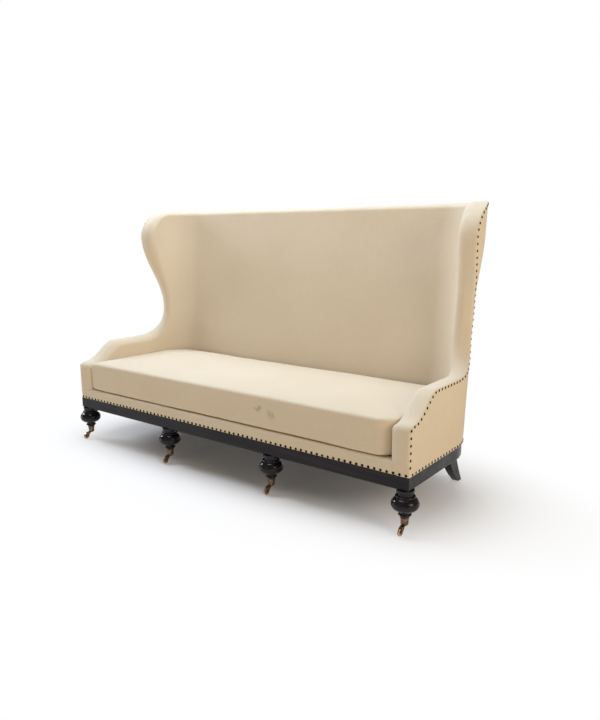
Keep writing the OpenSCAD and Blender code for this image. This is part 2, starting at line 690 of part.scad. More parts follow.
// Where row i of the inside face starts on the sheet
function row_start(i) = i < low_count ? [arm_level_end, low_rows[i]]
    : inset_place(wing_edge[i - low_count], wing_edge[i - low_count][2]);
function row_place(i, k) = let (at = row_start(i)) [mix(at[0], arc_end(at[1]), k / corner_steps), at[1]];
module inside_wing(side) color(linen) home() mirrored(side) wing_padding();
module wing_padding() {
    cols = corner_steps + 1;
    last = row_count - 1;
    inner = [for (i = [0 : last], k = [0 : corner_steps]) let (at = row_place(i, k))
        place(at[0], at[1], thick(at[0], at[1]))];
    hidden = [for (i = [0 : last], k = [0 : corner_steps]) let (at = row_place(i, k))
        place(at[0], at[1], thick(at[0], at[1]) - pad_thick)];
    rolls = [for (s = wing_edge, j = [0 : roll_steps - 1]) roll_point(s, j)];
    tops = [for (k = [1 : corner_steps], j = [0 : roll_steps - 1])
        roll_point([[row_place(last, k)[0], back_height], [0, 1], top_roll, 1], j)];
    grid = row_count * cols;
    function face(i, k) = i * cols + k;
    function hid(i, k) = grid + i * cols + k;
    function roll(i, j) = j == roll_steps ? face(i + low_count, 0) : 2 * grid + i * roll_steps + j;
    function top(k, j) = k == 0 ? roll(wing_count - 1, j) : j == roll_steps ? face(last, k)
        : 2 * grid + wing_count * roll_steps + (k - 1) * roll_steps + j;
    faces = concat(
        [for (i = [0 : last - 1], k = [0 : corner_steps - 1])
            each quad(face(i, k), face(i + 1, k), face(i + 1, k + 1), face(i, k + 1))],
        [for (i = [0 : last - 1], k = [0 : corner_steps - 1])
            each quad(hid(i, k), hid(i, k + 1), hid(i + 1, k + 1), hid(i + 1, k))],
        [for (k = [0 : corner_steps - 1]) each quad(face(0, k), face(0, k + 1), hid(0, k + 1), hid(0, k))],
        [for (i = [0 : low_count - 1]) each quad(face(i, 0), hid(i, 0), hid(i + 1, 0), face(i + 1, 0))],
        [for (j = [1 : roll_steps - 1]) [roll(0, 0), roll(0, j), roll(0, j + 1)]],
        [[roll(0, 0), roll(0, roll_steps), hid(low_count, 0)]],
        [for (i = [0 : wing_count - 2], j = [0 : roll_steps - 1])
            each quad(roll(i, j), roll(i + 1, j), roll(i + 1, j + 1), roll(i, j + 1))],
        [for (i = [0 : wing_count - 2])
            each quad(roll(i, 0), hid(low_count + i, 0), hid(low_count + i + 1, 0), roll(i + 1, 0))],
        [for (k = [0 : corner_steps - 1], j = [0 : roll_steps - 1])
            each quad(top(k, j), top(k + 1, j), top(k + 1, j + 1), top(k, j + 1))],
        [for (k = [0 : corner_steps - 1])
            each quad(top(k, 0), hid(last, k), hid(last, k + 1), top(k + 1, 0))],
        [for (i = [0 : last - 1])
            each quad(face(i, corner_steps), face(i + 1, corner_steps),
                      hid(i + 1, corner_steps), hid(i, corner_steps))],
        [for (j = [1 : roll_steps - 1])
            [top(corner_steps, 0), top(corner_steps, j + 1), top(corner_steps, j)]],
        [[top(corner_steps, 0), hid(last, corner_steps), top(corner_steps, roll_steps)]]);
    polyhedron(concat(inner, hidden, rolls, tops), faces, convexity = 10);
}
// Padding of the straight back, with the same section as the wing where they meet
module inside_back() color(linen) home() along(-corner_x, corner_x) {
    roll_low = back_height - top_roll;
    cover_top = back_height - outer_roll;
    polygon(concat(
        [for (t = [back_thick - pad_thick, back_thick]) [back_y(pad_bottom, t), pad_bottom]],
        [for (j = [roll_steps : -1 : 1])
            let (step = roll_step(top_roll, 1, j), z = back_height - step[0])
            [back_y(z, back_thick * step[1]), z]],
        [[back_y(cover_top, cover_thick + soft_gap), cover_top],
         [back_y(roll_low, back_thick - pad_thick), roll_low]]));
}

// Outside covers
cover_inset = outer_roll + soft_gap;
cover_edge = [for (s = arm_edge) inset_place(s, cover_inset)];
module outside_arm_covers() color(linen) home() for (side = [-1, 1]) mirrored(side)
    along(half_length - cover_thick, half_length)
        polygon(concat(cover_edge, [[arm_level_end, rail_top]]));
cover_rows = concat([[arm_level_end, rail_top], [arm_level_end, (rail_top + arm_height) / 2]],
    [for (s = wing_edge) inset_place(s, cover_inset)]);
module outside_wing(side) color(linen) home() mirrored(side) wing_cover();
module wing_cover() {
    cols = corner_steps + 1;
    rows = len(cover_rows);
    function spot(i, k) = let (at = cover_rows[i]) [mix(at[0], arc_end(at[1]), k / corner_steps), at[1]];
    points = [for (t = [0, cover_thick], i = [0 : rows - 1], k = [0 : corner_steps])
        let (at = spot(i, k)) place(at[0], at[1], t)];
    function out(i, k) = i * cols + k;
    function in(i, k) = rows * cols + i * cols + k;
    faces = concat(
        [for (i = [0 : rows - 2], k = [0 : corner_steps - 1])
            each quad(out(i, k), out(i, k + 1), out(i + 1, k + 1), out(i + 1, k))],
        [for (i = [0 : rows - 2], k = [0 : corner_steps - 1])
            each quad(in(i, k), in(i + 1, k), in(i + 1, k + 1), in(i, k + 1))],
        [for (k = [0 : corner_steps - 1]) each quad(out(0, k), in(0, k), in(0, k + 1), out(0, k + 1))],
        [for (k = [0 : corner_steps - 1])
            each quad(out(rows - 1, k), out(rows - 1, k + 1), in(rows - 1, k + 1), in(rows - 1, k))],
        [for (i = [0 : rows - 2]) each quad(out(i, 0), out(i + 1, 0), in(i + 1, 0), in(i, 0))],
        [for (i = [0 : rows - 2])
            each quad(out(i, corner_steps), in(i, corner_steps),
                      in(i + 1, corner_steps), out(i + 1, corner_steps))]);
    polyhedron(points, faces, convexity = 10);
}
module outside_back() color(linen) home() along(-corner_x, corner_x) {
    polygon([[back_y(rail_top, cover_thick), rail_top], [back_y(rail_top, 0), rail_top],
             [back_y(back_height - cover_inset, 0), back_height - cover_inset],
             [back_y(back_height - cover_inset, cover_thick), back_height - cover_inset]]);
}

// Loose seat cushion: a crowned form whose sides draw in between its corners
cushion_stations = 40;
cushion_ring = 26;
cushion_side_gap = 1.5;
cushion_half = half_length - side_thick - cushion_side_gap;
cushion_back = depth_at(seat_height) - back_thick - cushion_side_gap;
cushion_back_r = corner_r - back_thick - cushion_side_gap;
cushion_side_r = corner_r - side_thick - cushion_side_gap;
end_share = 0.16;
end_low_share = 0.86;
end_power = 6;
crown_power = 4;
edge_power = 0.42;
// Squareness of the cushion's section front to back and upwards, for its top and its underside
top_powers = [0.18, 0.34];
low_powers = [0.12, 0.24];
reach_share = 0.998;
// Stations crowd towards the ends so that the corners stay round
function station_x(i) = cushion_half * sin(90 * reach_share * (2 * i / cushion_stations - 1));
function back_line(x) = let (e = max(abs(x) - corner_x, 0) / cushion_side_r)
    cushion_back - cushion_back_r * (1 - sqrt(max(1 - e * e, 0)));
function front_line(x) = let (e = max(abs(x) - cushion_half + cushion_corner, 0) / cushion_corner)
    cushion_setback + cushion_corner * (1 - sqrt(max(1 - e * e, 0)));
function end_round(x) = let (e = max(abs(x) / cushion_half - 1 + end_share, 0) / end_share)
    sqrt(1 - pow(e, end_power));
function cushion_point(x, k) =
    let (w = 360 * k / cushion_ring, c = cos(w), s = sin(w),
         power = s < 0 ? low_powers : top_powers,
         u = sign(c) * pow(abs(c), edge_power),
         v = sign(s) * pow(1 - pow(abs(c), 2 * edge_power / power[0]), power[1] / 2),
         y0 = front_line(x), y1 = back_line(x), fill = end_round(x),
         rise = cushion_crown * fill * (1 - pow(abs(x) / cushion_half, crown_power)) * (1 - u * u),
         half = cushion_edge / 2 * mix(end_low_share, 1, fill),
         y = mix(y0, y1, (1 + u) / 2))
    [x, y, seat_height + cushion_edge / 2 + v * half + (v > 0 ? rise : 0)];
module seat_cushion() color(linen) home() {
    points = [for (i = [0 : cushion_stations], k = [0 : cushion_ring - 1]) cushion_point(station_x(i), k)];
    ring = cushion_ring;
    polyhedron(points, concat(
        [[for (k = [ring - 1 : -1 : 0]) k]],
        [for (i = [0 : cushion_stations - 1], k = [0 : ring - 1])
            let (n = (k + 1) % ring)
            each quad(i * ring + k, i * ring + n, (i + 1) * ring + n, (i + 1) * ring + k)],
        [[for (k = [0 : ring - 1]) cushion_stations * ring + k]]), convexity = 6);
}

// Domed nail heads
nail_ball = (pow(nail_d / 2, 2) + pow(nail_rise, 2)) / (2 * nail_rise);
nail_line = 11;
module nail() {
    translate([0, 0, nail_lift]) rotate_extrude($fn = 32) intersection() {
        translate([0, nail_rise - nail_ball]) circle(nail_ball, $fn = 96);
        square([nail_d / 2, nail_rise]);
    }
}
// A nail at a place on the sheet, its dome square to the outside face
module nail_at(a, z) {
    w = turn(a, z);
    lean = (flare(z + nail_d / 2) - flare(z - nail_d / 2)) / nail_d * pow(cos(w), 2);
    translate(place(a, z, 0)) rotate([0, 90 + atan(rake_share * sin(w) + lean), w]) nail();
}
nail_z = rail_top + nail_line;
front_count = round((settee_length - nail_pitch) / nail_pitch);
side_count = floor(arc_end(nail_z) / nail_pitch);
back_count = round(2 * corner_x / nail_pitch);
top_count = round(2 * corner_x / edge_pitch);
edge_samples = concat([for (i = [1 : arm_count - 1]) arm_edge[i]],
    [for (i = [1 : wing_count - 1]) wing_edge[i]]);
edge_spots = concat([[nail_inset, nail_z]], [for (s = edge_samples) inset_place(s, nail_inset)],
    [[arc_end(edge_end_z), edge_end_z]]);
function run_to(i) = i == 0 ? 0 : run_to(i - 1) + norm(edge_spots[i] - edge_spots[i - 1]);
edge_runs = [for (i = [0 : len(edge_spots) - 1]) run_to(i)];
edge_run = edge_runs[len(edge_runs) - 1];
edge_count = round(edge_run / edge_pitch);
function edge_part(run, part) =
    lookup(run, [for (i = [0 : len(edge_spots) - 1]) [edge_runs[i], edge_spots[i][part]]]);
module back_nails(count, z) {
    for (i = [1 : count - 1])
        translate([mix(-corner_x, corner_x, i / count), back_y(z, 0), z])
            rotate([-90 - atan(rake_share), 0, 0]) nail();
}
module nails() color(nail_bronze) home() {
    for (i = [0 : front_count])
        translate([mix(-1, 1, i / front_count) * (half_length - nail_pitch / 2), 0, nail_z])
            rotate([90, 0, 0]) nail();
    for (side = [-1, 1]) mirrored(side) {
        for (i = [1 : side_count]) nail_at(i * nail_pitch, nail_z);
        for (i = [1 : edge_count]) {
            run = i * edge_run / edge_count;
            nail_at(edge_part(run, 0), edge_part(run, 1));
        }
    }
    back_nails(back_count, nail_z);
    back_nails(top_count, edge_end_z);
}

rail_front();
rail_side(-1);  // rail_side_left
rail_side(1);  // rail_side_right
rail_corner(-1);  // rail_corner_left
rail_corner(1);  // rail_corner_right
rail_back();
front_leg(0);  // front_leg_1
front_leg(1);  // front_leg_2
front_leg(2);  // front_leg_3
front_leg(3);  // front_leg_4
rear_leg(-1);  // rear_leg_left
rear_leg(1);  // rear_leg_right
castor_cup(0);  // castor_cup_1
castor_cup(1);  // castor_cup_2
castor_cup(2);  // castor_cup_3
castor_cup(3);  // castor_cup_4
castor_horn(0);  // castor_horn_1
castor_horn(1);  // castor_horn_2
castor_horn(2);  // castor_horn_3
castor_horn(3);  // castor_horn_4
castor_wheel(0);  // castor_wheel_1
castor_wheel(1);  // castor_wheel_2
castor_wheel(2);  // castor_wheel_3
castor_wheel(3);  // castor_wheel_4
castor_axle(0);  // castor_axle_1
castor_axle(1);  // castor_axle_2
castor_axle(2);  // castor_axle_3
castor_axle(3);  // castor_axle_4
seat_rail_front();
seat_rail_back();
seat_rail_side(-1);  // seat_rail_left
seat_rail_side(1);  // seat_rail_right
seat_rail_corners();
cross_rails();
corner_blocks();
back_posts();
back_top_rail();
arm_post(-1);  // arm_post_left
arm_post(1);  // arm_post_right
arm_rail(-1);  // arm_rail_left
arm_rail(1);  // arm_rail_right
wing_post(-1);  // wing_post_left
wing_post(1);  // wing_post_right
wing_top_rail(-1);  // wing_top_rail_left
wing_top_rail(1);  // wing_top_rail_right
webbing();
seat_platform();
dust_cover();
seat_border();
inside_arm(-1);  // inside_arm_left
inside_arm(1);  // inside_arm_right
inside_wing(-1);  // inside_wing_left
inside_wing(1);  // inside_wing_right
inside_back();
outside_arm_covers();
outside_wing(-1);  // outside_wing_left
outside_wing(1);  // outside_wing_right
outside_back();
seat_cushion();
nails();
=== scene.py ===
# %% [markdown]
# # A high back settee in nailed linen
# The settee is a long upholstered bench. Two low arms rise into wings, and the wings turn the
# rear corners into a tall back without a seam. Everything stands on a dark polished rail, four
# turned legs with brass castors and two square legs at the back.
# The frame, rail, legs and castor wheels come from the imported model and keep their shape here.
# This lesson makes the cloth covers, the cushion, the nail heads, the castor forks, the finishes,
# the light and the camera.

# %% Load the frame and keep its size
import bpy
import bmesh
import json
import math
import numpy as np
from mathutils import Matrix, Vector, noise
from mathutils.geometry import delaunay_2d_cdt


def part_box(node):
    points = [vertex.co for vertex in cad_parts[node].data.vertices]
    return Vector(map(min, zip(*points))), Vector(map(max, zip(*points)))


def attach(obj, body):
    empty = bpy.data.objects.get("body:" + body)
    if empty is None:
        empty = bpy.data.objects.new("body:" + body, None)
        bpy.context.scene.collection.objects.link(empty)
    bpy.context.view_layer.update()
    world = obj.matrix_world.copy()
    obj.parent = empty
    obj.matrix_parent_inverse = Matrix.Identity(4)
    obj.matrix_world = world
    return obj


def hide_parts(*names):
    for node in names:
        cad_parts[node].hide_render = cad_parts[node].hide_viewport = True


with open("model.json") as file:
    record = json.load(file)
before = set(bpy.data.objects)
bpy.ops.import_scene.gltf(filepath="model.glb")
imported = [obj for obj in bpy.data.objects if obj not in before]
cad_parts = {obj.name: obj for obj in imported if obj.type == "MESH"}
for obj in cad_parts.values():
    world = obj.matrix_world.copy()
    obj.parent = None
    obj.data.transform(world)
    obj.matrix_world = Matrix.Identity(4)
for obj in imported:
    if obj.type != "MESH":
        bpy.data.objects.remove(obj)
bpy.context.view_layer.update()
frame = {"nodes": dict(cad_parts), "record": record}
front_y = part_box("rail_front")[0].y

# %% [markdown]
# ## The sheet that the walls are drawn on
# An upholsterer works from flat cloth, and so do we. A place on a wall is given by a, the distance
# back from the front along the outside, by z, the height, and by t, the depth in from the outside
# face. Drawing on that flat sheet and bending it afterwards keeps the wings, the rounded corners
# and the back one continuous surface.

# %% Sizes of the walls, in metres
# Half the length, the depth, the bend of a rear corner, and the height
HALF, DEPTH, CORNER, TOP = 1.1, 0.735, 0.27, 1.364
# Where the cloth starts, the lean of the back, and how far it overhangs the back rail
RAIL_TOP, RAKE, OVERHANG = 0.253, 0.095, 0.012
SIDE_THICK, BACK_THICK = 0.086, 0.068
# Extra fullness of arm and wing head, and where each fades, as a start and a length
ARM_SWELL, ARM_TOP_FADE, ARM_BACK_FADE = 0.008, (0.62, 0.12), (0.40, 0.15)
WING_SWELL, HEAD_FADE, HEAD_BACK_FADE = 0.016, (0.90, 0.30), (0.60, 0.18)
# The wings lean out by FLARE between two heights
FLARE, FLARE_LOW, FLARE_HIGH = 0.025, 0.888, 1.205
# How far the rolled edge bends over, inside and at the outside face
ARM_ROLL, WING_ROLL, TOP_ROLL, OUTER_ROLL = 0.032, 0.044, 0.026, 0.005
# Squareness of the roll, 1 for round, and how far it swells past the edge
ARM_SHARE, OUTER_SHARE, BULGE = 0.95, 0.45, 0.0045
# Heights of arm, waist and nose, then of the arm's front and lip, and the gap over the rail
ARM, WAIST, NOSE = 0.574, 0.762, 1.202
FRONT_TOP, LIP, GAP = 0.446, 0.466, 0.0005
QUARTER = CORNER * math.pi / 2


# %% From the sheet to the room
def ease(x):
    x = np.clip(x, 0, 1)
    return x * x * (3 - 2 * x)


def grow(value, start, length):
    """From 0 at start to 1 a length further on, with soft ends."""
    return ease((value - start) / length)


def arc_start(z):
    """Distance along the sheet at which the rear corner starts to bend."""
    return DEPTH + OVERHANG + RAKE * (z - RAIL_TOP) - CORNER


def middle(z):
    """Distance along the sheet to the middle of the back."""
    return arc_start(z) + QUARTER + HALF - CORNER


def thick(a, z):
    """Thickness of the wall, a little fuller at the arm and at the head of the wing."""
    over_arm = (1 - grow(z, *ARM_TOP_FADE)) * (1 - grow(a, *ARM_BACK_FADE))
    head = grow(z, *HEAD_FADE) * (1 - grow(a, *HEAD_BACK_FADE))
    return (SIDE_THICK + (BACK_THICK - SIDE_THICK) * ease((a - arc_start(z)) / QUARTER)
            + ARM_SWELL * over_arm + WING_SWELL * head)


def place(a, z, t):
    """The points in the row frame of places on the right-hand sheet."""
    start = arc_start(z)
    turn = np.clip((a - start) / CORNER, 0, math.pi / 2)
    past = np.maximum(a - start - QUARTER, 0)
    flare = FLARE * ease((z - FLARE_LOW) / (FLARE_HIGH - FLARE_LOW))
    x = HALF - CORNER - past + (CORNER + flare - t) * np.cos(turn)
    y = np.minimum(a, start) + (CORNER - t) * np.sin(turn)
    return np.stack([x, y + front_y, z + 0 * a], -1)


def lay(flat, t):
    """Points for a list of flat places, all at depth t or each at its own."""
    return place(flat[:, 0], flat[:, 1], t + 0 * flat[:, 0])


def wall(flat):
    return thick(flat[:, 0], flat[:, 1])


# %% [markdown]
# ## The line of arm, wing and top
# One curve gives the settee its character. It climbs the arm front, tips back over a low lip,
# rises in an ogee to the level arm, sweeps up to the waist of the wing, swells forward to its
# nose and rounds into the straight top. Bézier stretches give it, and even spacing along it
# keeps the later bands regular.

# %% The edge curve
def bezier(p, q, r, s, steps=40):
    w = np.linspace(0, 1, steps + 1)[1:, None]
    p, q, r, s = (np.array(v) for v in (p, q, r, s))
    return (1 - w) ** 3 * p + 3 * w * (1 - w) ** 2 * q + 3 * w * w * (1 - w) * r + w ** 3 * s


def edge_curve(step=0.009):
    """Even points in a and z from the rail up the arm front to the middle of the top."""
    line = np.vstack([
        [[0, RAIL_TOP + GAP], [0, FRONT_TOP]],
        bezier((0, FRONT_TOP), (0, 0.458), (0.012, LIP), (0.030, LIP)),
        bezier((0.030, LIP), (0.112, LIP), (0.1735, ARM), (0.235, ARM)),
        bezier((0.440, ARM), (0.557, ARM), (0.649, 0.6225), (0.649, WAIST)),
        bezier((0.649, WAIST), (0.649, 0.9147), (0.523, 1.0506), (0.523, NOSE)),
        bezier((0.523, NOSE), (0.523, 1.2636), (0.5757, TOP), (0.748, TOP)),
        [[middle(TOP), TOP]]])
    run = np.concatenate([[0], np.cumsum(np.hypot(*np.diff(line, axis=0).T))])
    even = np.linspace(0, run[-1], int(run[-1] / step) + 1)
    return np.stack([np.interp(even, run, line[:, k]) for k in (0, 1)], -1)


def soften(values, rounds):
    """Evens out neighbours a few times and holds both ends."""
    for _ in range(rounds):
        values[1:-1] = values[1:-1] / 2 + (values[:-2] + values[2:]) / 4
    return values


edge = edge_curve()
front_end = int(np.argmin(np.hypot(edge[:, 0], edge[:, 1] - FRONT_TOP)))
edge[front_end:] = soften(edge[front_end:].copy(), 3)
slope = np.gradient(edge, axis=0)
outward = np.stack([-slope[:, 1], slope[:, 0]], -1) / np.hypot(*slope.T)[:, None]
outward = soften(outward.copy(), 4)
outward /= np.hypot(*outward.T)[:, None]
print("edge curve:", len(edge), "samples, one side")

# %% The rolled section along the curve
FULL_ROLL_AT, BULGE_RISE = 0.66, 0.08
turn_up = ease((edge[:, 1] - ARM) / (WAIST - ARM) / FULL_ROLL_AT)
at_top = ease((edge[:, 1] - NOSE) / (TOP - NOSE))
roll = (ARM_ROLL + (WING_ROLL - ARM_ROLL) * turn_up) * (1 - at_top) + TOP_ROLL * at_top
share = ARM_SHARE + (1 - ARM_SHARE) * turn_up
bulge = BULGE * ease((edge[:, 1] - RAIL_TOP) / BULGE_RISE) * (1 - at_top)


def section(w):
    """Depth from the edge, and share of the thickness, at angle w round the roll."""
    power = share if w > math.pi / 2 else 0 * share + OUTER_SHARE
    back = (roll if w > math.pi / 2 else OUTER_ROLL) * (1 - np.sin(w) ** power)
    side = np.sign(np.cos(w)) * np.abs(np.cos(w)) ** power
    return back - bulge * np.sin(w), (1 - side) / 2


def inset(depth):
    return edge - outward * np.asarray(depth)[..., None]


def line_at(depth):
    """The edge curve moved in by depth, with its end kept on the middle of the back."""
    line = inset(depth)
    line[-1, 0] = middle(line[-1, 1])
    return line


print("roll from", round(float(roll.min()), 4), "to", round(float(roll.max()), 4), "m")

# %% [markdown]
# ## Covers over the padding
# The inside cover is one skin: from the seat up the padding, round the rolled edge and down to
# the nails outside. The outside cover is a second skin, laid over its edge and nailed. Both are
# bands that follow the edge curve, with the field between filled by a Delaunay mesh on the flat
# sheet, which keeps the triangles even. Weaves need directions, so each skin carries its flat
# place as a UV, in metres.

# %% Fill the field between the bands
def fill_field(rim, spacing=0.022, clear=0.55):
    """Triangles on the flat sheet inside a rim of points, with even points between."""
    rim = [Vector(p) for p in rim]
    low, high = np.min(rim, axis=0), np.max(rim, axis=0)
    ring = np.array(rim)
    ahead = np.roll(ring, -1, axis=0)
    spots = []
    for i, z in enumerate(np.arange(low[1] + spacing / 2, high[1], spacing)):
        crossing = (ring[:, 1] > z) != (ahead[:, 1] > z)
        r, n = ring[crossing], ahead[crossing]
        cuts = r[:, 0] + (z - r[:, 1]) / (n[:, 1] - r[:, 1]) * (n[:, 0] - r[:, 0])
        for a in np.arange(low[0] + spacing / 2 * (1 + i % 2), high[0], spacing):
            nearest = np.min(np.hypot(ring[:, 0] - a, ring[:, 1] - z))
            if np.sum(cuts > a) % 2 and nearest > spacing * clear:
                spots.append(Vector((a, z)))
    count = len(rim)
    ties = [(i, (i + 1) % count) for i in range(count)]
    verts, _, faces, *_ = delaunay_2d_cdt(rim + spots, ties, [], 1, 1e-7)
    return np.array([list(v) for v in verts]), [tuple(f) for f in faces]


def field_rim(depth, up_step=0.02, low_step=0.015):
    """The loop round the field: the band's inner line, then the middle line and the bottom."""
    line = line_at(depth)
    z = np.arange(line[-1, 1] - up_step, RAIL_TOP + up_step / 2, -up_step)
    a = np.arange(middle(RAIL_TOP), line[0, 0] + 0.008, -low_step)
    return np.vstack([line, np.stack([middle(z), z], -1),
                      np.stack([a, 0 * a + RAIL_TOP + GAP], -1)])


# %% Turn points into pieces
def show(name, mesh):
    """Puts a mesh in the scene, shaded smooth."""
    for face in mesh.polygons:
        face.use_smooth = True
    piece = bpy.data.objects.new(name, mesh)
    bpy.context.scene.collection.objects.link(piece)
    return piece


def show_bmesh(name, bm):
    mesh = bpy.data.meshes.new(name)
    bm.to_mesh(mesh)
    bm.free()
    return show(name, mesh)


def show_points(name, verts, faces):
    mesh = bpy.data.meshes.new(name)
    mesh.from_pydata([tuple(v) for v in verts], [], faces)
    mesh.update()
    return show(name, mesh)


def skin(name, bands, field, field_flat, field_faces):
    """Joins bands of points and flat places to a triangulated field, on both sides."""
    bm = bmesh.new()
    cloth = bm.loops.layers.uv.new("cloth")
    flat_of = {}

    def add_row(points, flats, side):
        row = [bm.verts.new((p[0] * side, p[1], p[2])) for p in points]
        flat_of.update(zip(row, flats))
        return row

    for side in (1, -1):
        grid = [add_row(points, flats, side) for points, flats in bands]
        for low, high in zip(grid, grid[1:]):
            for i in range(len(low) - 1):
                bm.faces.new((low[i], low[i + 1], high[i + 1], high[i]))
        row = add_row(field, field_flat, side)
        for f in field_faces:
            bm.faces.new([row[i] for i in f])
    for face in bm.faces:
        for loop in face.loops:
            loop[cloth].uv = flat_of[loop.vert]
    bmesh.ops.remove_doubles(bm, verts=bm.verts, dist=2e-5)
    bmesh.ops.recalc_face_normals(bm, faces=bm.faces)
    return show_bmesh(name, bm)


# %% [markdown]
# ## Fullness
# Padding is never flat. It stands a few millimetres proud in the middle of each panel and thins
# towards seams, and the cloth over it ripples a little. A slow noise and an eased crown give both.

# %% The crown and ripple of the inside padding
# How far a panel stands proud, and how far from the edge its ripples reach full height
PAD_CROWN, RIPPLE_REACH = 0.004, 0.2
# Scale and height of each ripple
SLOW_RIPPLE, QUICK_RIPPLE = (4.5, 0.0016), (13.0, 0.0004)


def ripple(points, scale, amount):
    return np.array([noise.noise(Vector(p) * scale) for p in points]) * amount


def distance_to_edge(flat):
    return np.array([np.min(np.hypot(edge[:, 0] - p[0], edge[:, 1] - p[1])) for p in flat])


def fullness(flat, from_edge):
    a, z = flat[:, 0], flat[:, 1]
    crown = grow(from_edge, 0.08, 0.30) * grow(z, 0.47, 0.16)
    spots = np.stack([a, z, 0 * a], -1)
    waves = ripple(spots, *SLOW_RIPPLE) + ripple(spots, *QUICK_RIPPLE)
    return PAD_CROWN * crown + waves * ease(from_edge / RIPPLE_REACH)


# %% The inside cover
FIELD_DEPTH, TINY = 0.010, 1e-9
TUCK_DEPTH, TUCK_IN = 0.009, 0.0012
angles = math.pi * np.concatenate([np.linspace(1, 0.5, 15), np.linspace(0.46, 0, 9)])
inner_bands = []
for depth in (FIELD_DEPTH, 0.0035):
    flat = line_at(roll + depth)
    inner_bands.append((lay(flat, wall(flat)), flat))
girth = 0
last_band = None
for w in angles:
    back, part = section(min(max(w, TINY), math.pi - TINY))
    flat = line_at(back)
    points = lay(flat, part * wall(flat))
    if last_band is not None:
        girth = girth + np.linalg.norm(points - last_band, axis=1)
    inner_bands.append((points, inset(roll - girth)))
    last_band = points
inner_bands.append((lay(line_at(OUTER_ROLL + TUCK_DEPTH), TUCK_IN),
                    inset(roll - girth - TUCK_DEPTH)))
flat, faces = fill_field(field_rim(roll + FIELD_DEPTH))
swell = fullness(flat, distance_to_edge(flat))
inside_cover = skin("inside_cover", inner_bands, lay(flat, wall(flat) + swell), flat, faces)
print("inside cover:", len(inside_cover.data.polygons), "faces")

# %% The outside cover
# The hem's distance in from the edge, where the field starts after it, and the depth of the cloth
HEM, HEM_FIELD, PROUD = 0.0042, 0.020, -0.0002
# Rows from the hem inwards, as a distance from it and a depth
HEM_ROWS = ((0.0, 0.0006), (0.0, -0.0001), (0.0008, -0.0003), (0.003, PROUD), (0.008, PROUD),
            (HEM_FIELD, PROUD))
outer_bands = []
for depth, t in HEM_ROWS:
    flat = line_at(HEM + depth)
    outer_bands.append((lay(flat, t), flat))
flat, faces = fill_field(field_rim(HEM + HEM_FIELD))
loose = grow(distance_to_edge(flat), 0.024, 0.10) * grow(flat[:, 1] - RAIL_TOP, 0.02, 0.1)
spots = np.column_stack([flat, 0 * loose])
slack = (ripple(spots, 3.5, 0.0012) + ripple(spots, 17.0, 0.0003)) * loose
outside_cover = skin("outside_cover", outer_bands, lay(flat, PROUD - slack), flat, faces)
print("outside cover:", len(outside_cover.data.polygons), "faces")

# %% [markdown]
# ## Small pulls in the cloth
# A seam or a nail pulls the cloth, so the surface between is never a perfect cylinder. Each
# vertex moves a fraction of a millimetre along its normal, by a noise that is fixed, so that
# every run gives the same cloth.

# %% Move vertices along their normals
def roughen(piece, parts):
    """Each part is the scale of a noise and how far it moves a vertex."""
    normals = [v.normal.copy() for v in piece.data.vertices]
    for v, n in zip(piece.data.vertices, normals):
        v.co += n * sum(noise.noise(v.co * scale) * amount for scale, amount in parts)


roughen(inside_cover, ((13.0, 0.0003),))
print("pulls on:", inside_cover.name)


# %% Rows of points, and cloth laid on a piece
def grid_faces(rows, across):
    """Quads between rows of points, each row across points long."""
    return [(i * across + k, (i + 1) * across + k, (i + 1) * across + k + 1, i * across + k + 1)
            for i in range(rows - 1) for k in range(across - 1)]


def box_uv(piece):
    """Lays cloth on a piece from the side that each face looks to, in metres."""
    layer = piece.data.uv_layers.new(name="cloth")
    for face in piece.data.polygons:
        n = [abs(c) for c in face.normal]
        across, up = ((1, 2), (0, 2), (0, 1))[n.index(max(n))]
        for i in face.loop_indices:
            co = piece.data.vertices[piece.data.loops[i].vertex_index].co
            layer.data[i].uv = (co[across], co[up])


# %% [markdown]
# ## The border above the rail
# A firm padded strip covers the front of the seat frame between the arms. It is rounded over at
# its top edge, where the cushion lies on it, and nailed along the rail. Its ends run in under the
# rolls of the arms, a little further back, so that no slit opens beside them.

# %% The seat border
# How far the ends run under the arms, how far back they tuck, and where the tuck starts
BORDER_REACH, BORDER_TUCK, TUCK_START, TUCK_LENGTH = 0.034, 0.003, 0.004, 0.03
BORDER_LIFT = 0.0003
border_low, border_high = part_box("seat_border")
# The section from the hidden bottom up the front and over the bend, in y and z
profile = [(0.042, 0.0), (0.0012, 0.0), (0.0004, 0.004), (-0.0006, 0.016), (-0.0008, 0.030)]
profile += [(0.014 - 0.0145 * math.cos(w), 0.0435 + 0.0140 * math.sin(w))
            for w in np.linspace(0.1, math.pi / 2, 8)]
profile += [(0.026, 0.0577), (0.042, 0.0575)]
stations = np.linspace(border_low.x - BORDER_REACH, border_high.x + BORDER_REACH, 240)
verts = []
for x in stations:
    tucked = BORDER_TUCK * float(ease((abs(x) - border_high.x - TUCK_START) / TUCK_LENGTH))
    verts += [(x, border_low.y + y + tucked, border_low.z + BORDER_LIFT + z) for y, z in profile]
seat_border = show_points("border_cover", verts, grid_faces(len(stations), len(profile)))
box_uv(seat_border)
roughen(seat_border, ((6.0, 0.0010), (19.0, 0.0004)))
print("seat border:", len(seat_border.data.polygons), "faces")

# %% [markdown]
# ## The loose cushion
# A long bench cushion is a box of cloth over a soft core: crowned on top, drawn in a little
# along its sides, and square at the ends, where the arms hold it. A grid wrapped round a
# rounded box gives even quads all round, and its two halves take different curves: the upper
# edge folds crisply at the front, as the real one does, and the lower one is squarer still. Its
# right front corner has been sat round, and the left one is still sharp.

# %% Sizes of the cushion, in metres
cushion_low, cushion_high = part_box("seat_cushion")
EDGE_HEIGHT, CROWN, SET_BACK = 0.164, 0.022, 0.006
RIGHT_CORNER, LEFT_CORNER, SIDE_GAP = 0.072, 0.022, 0.0015
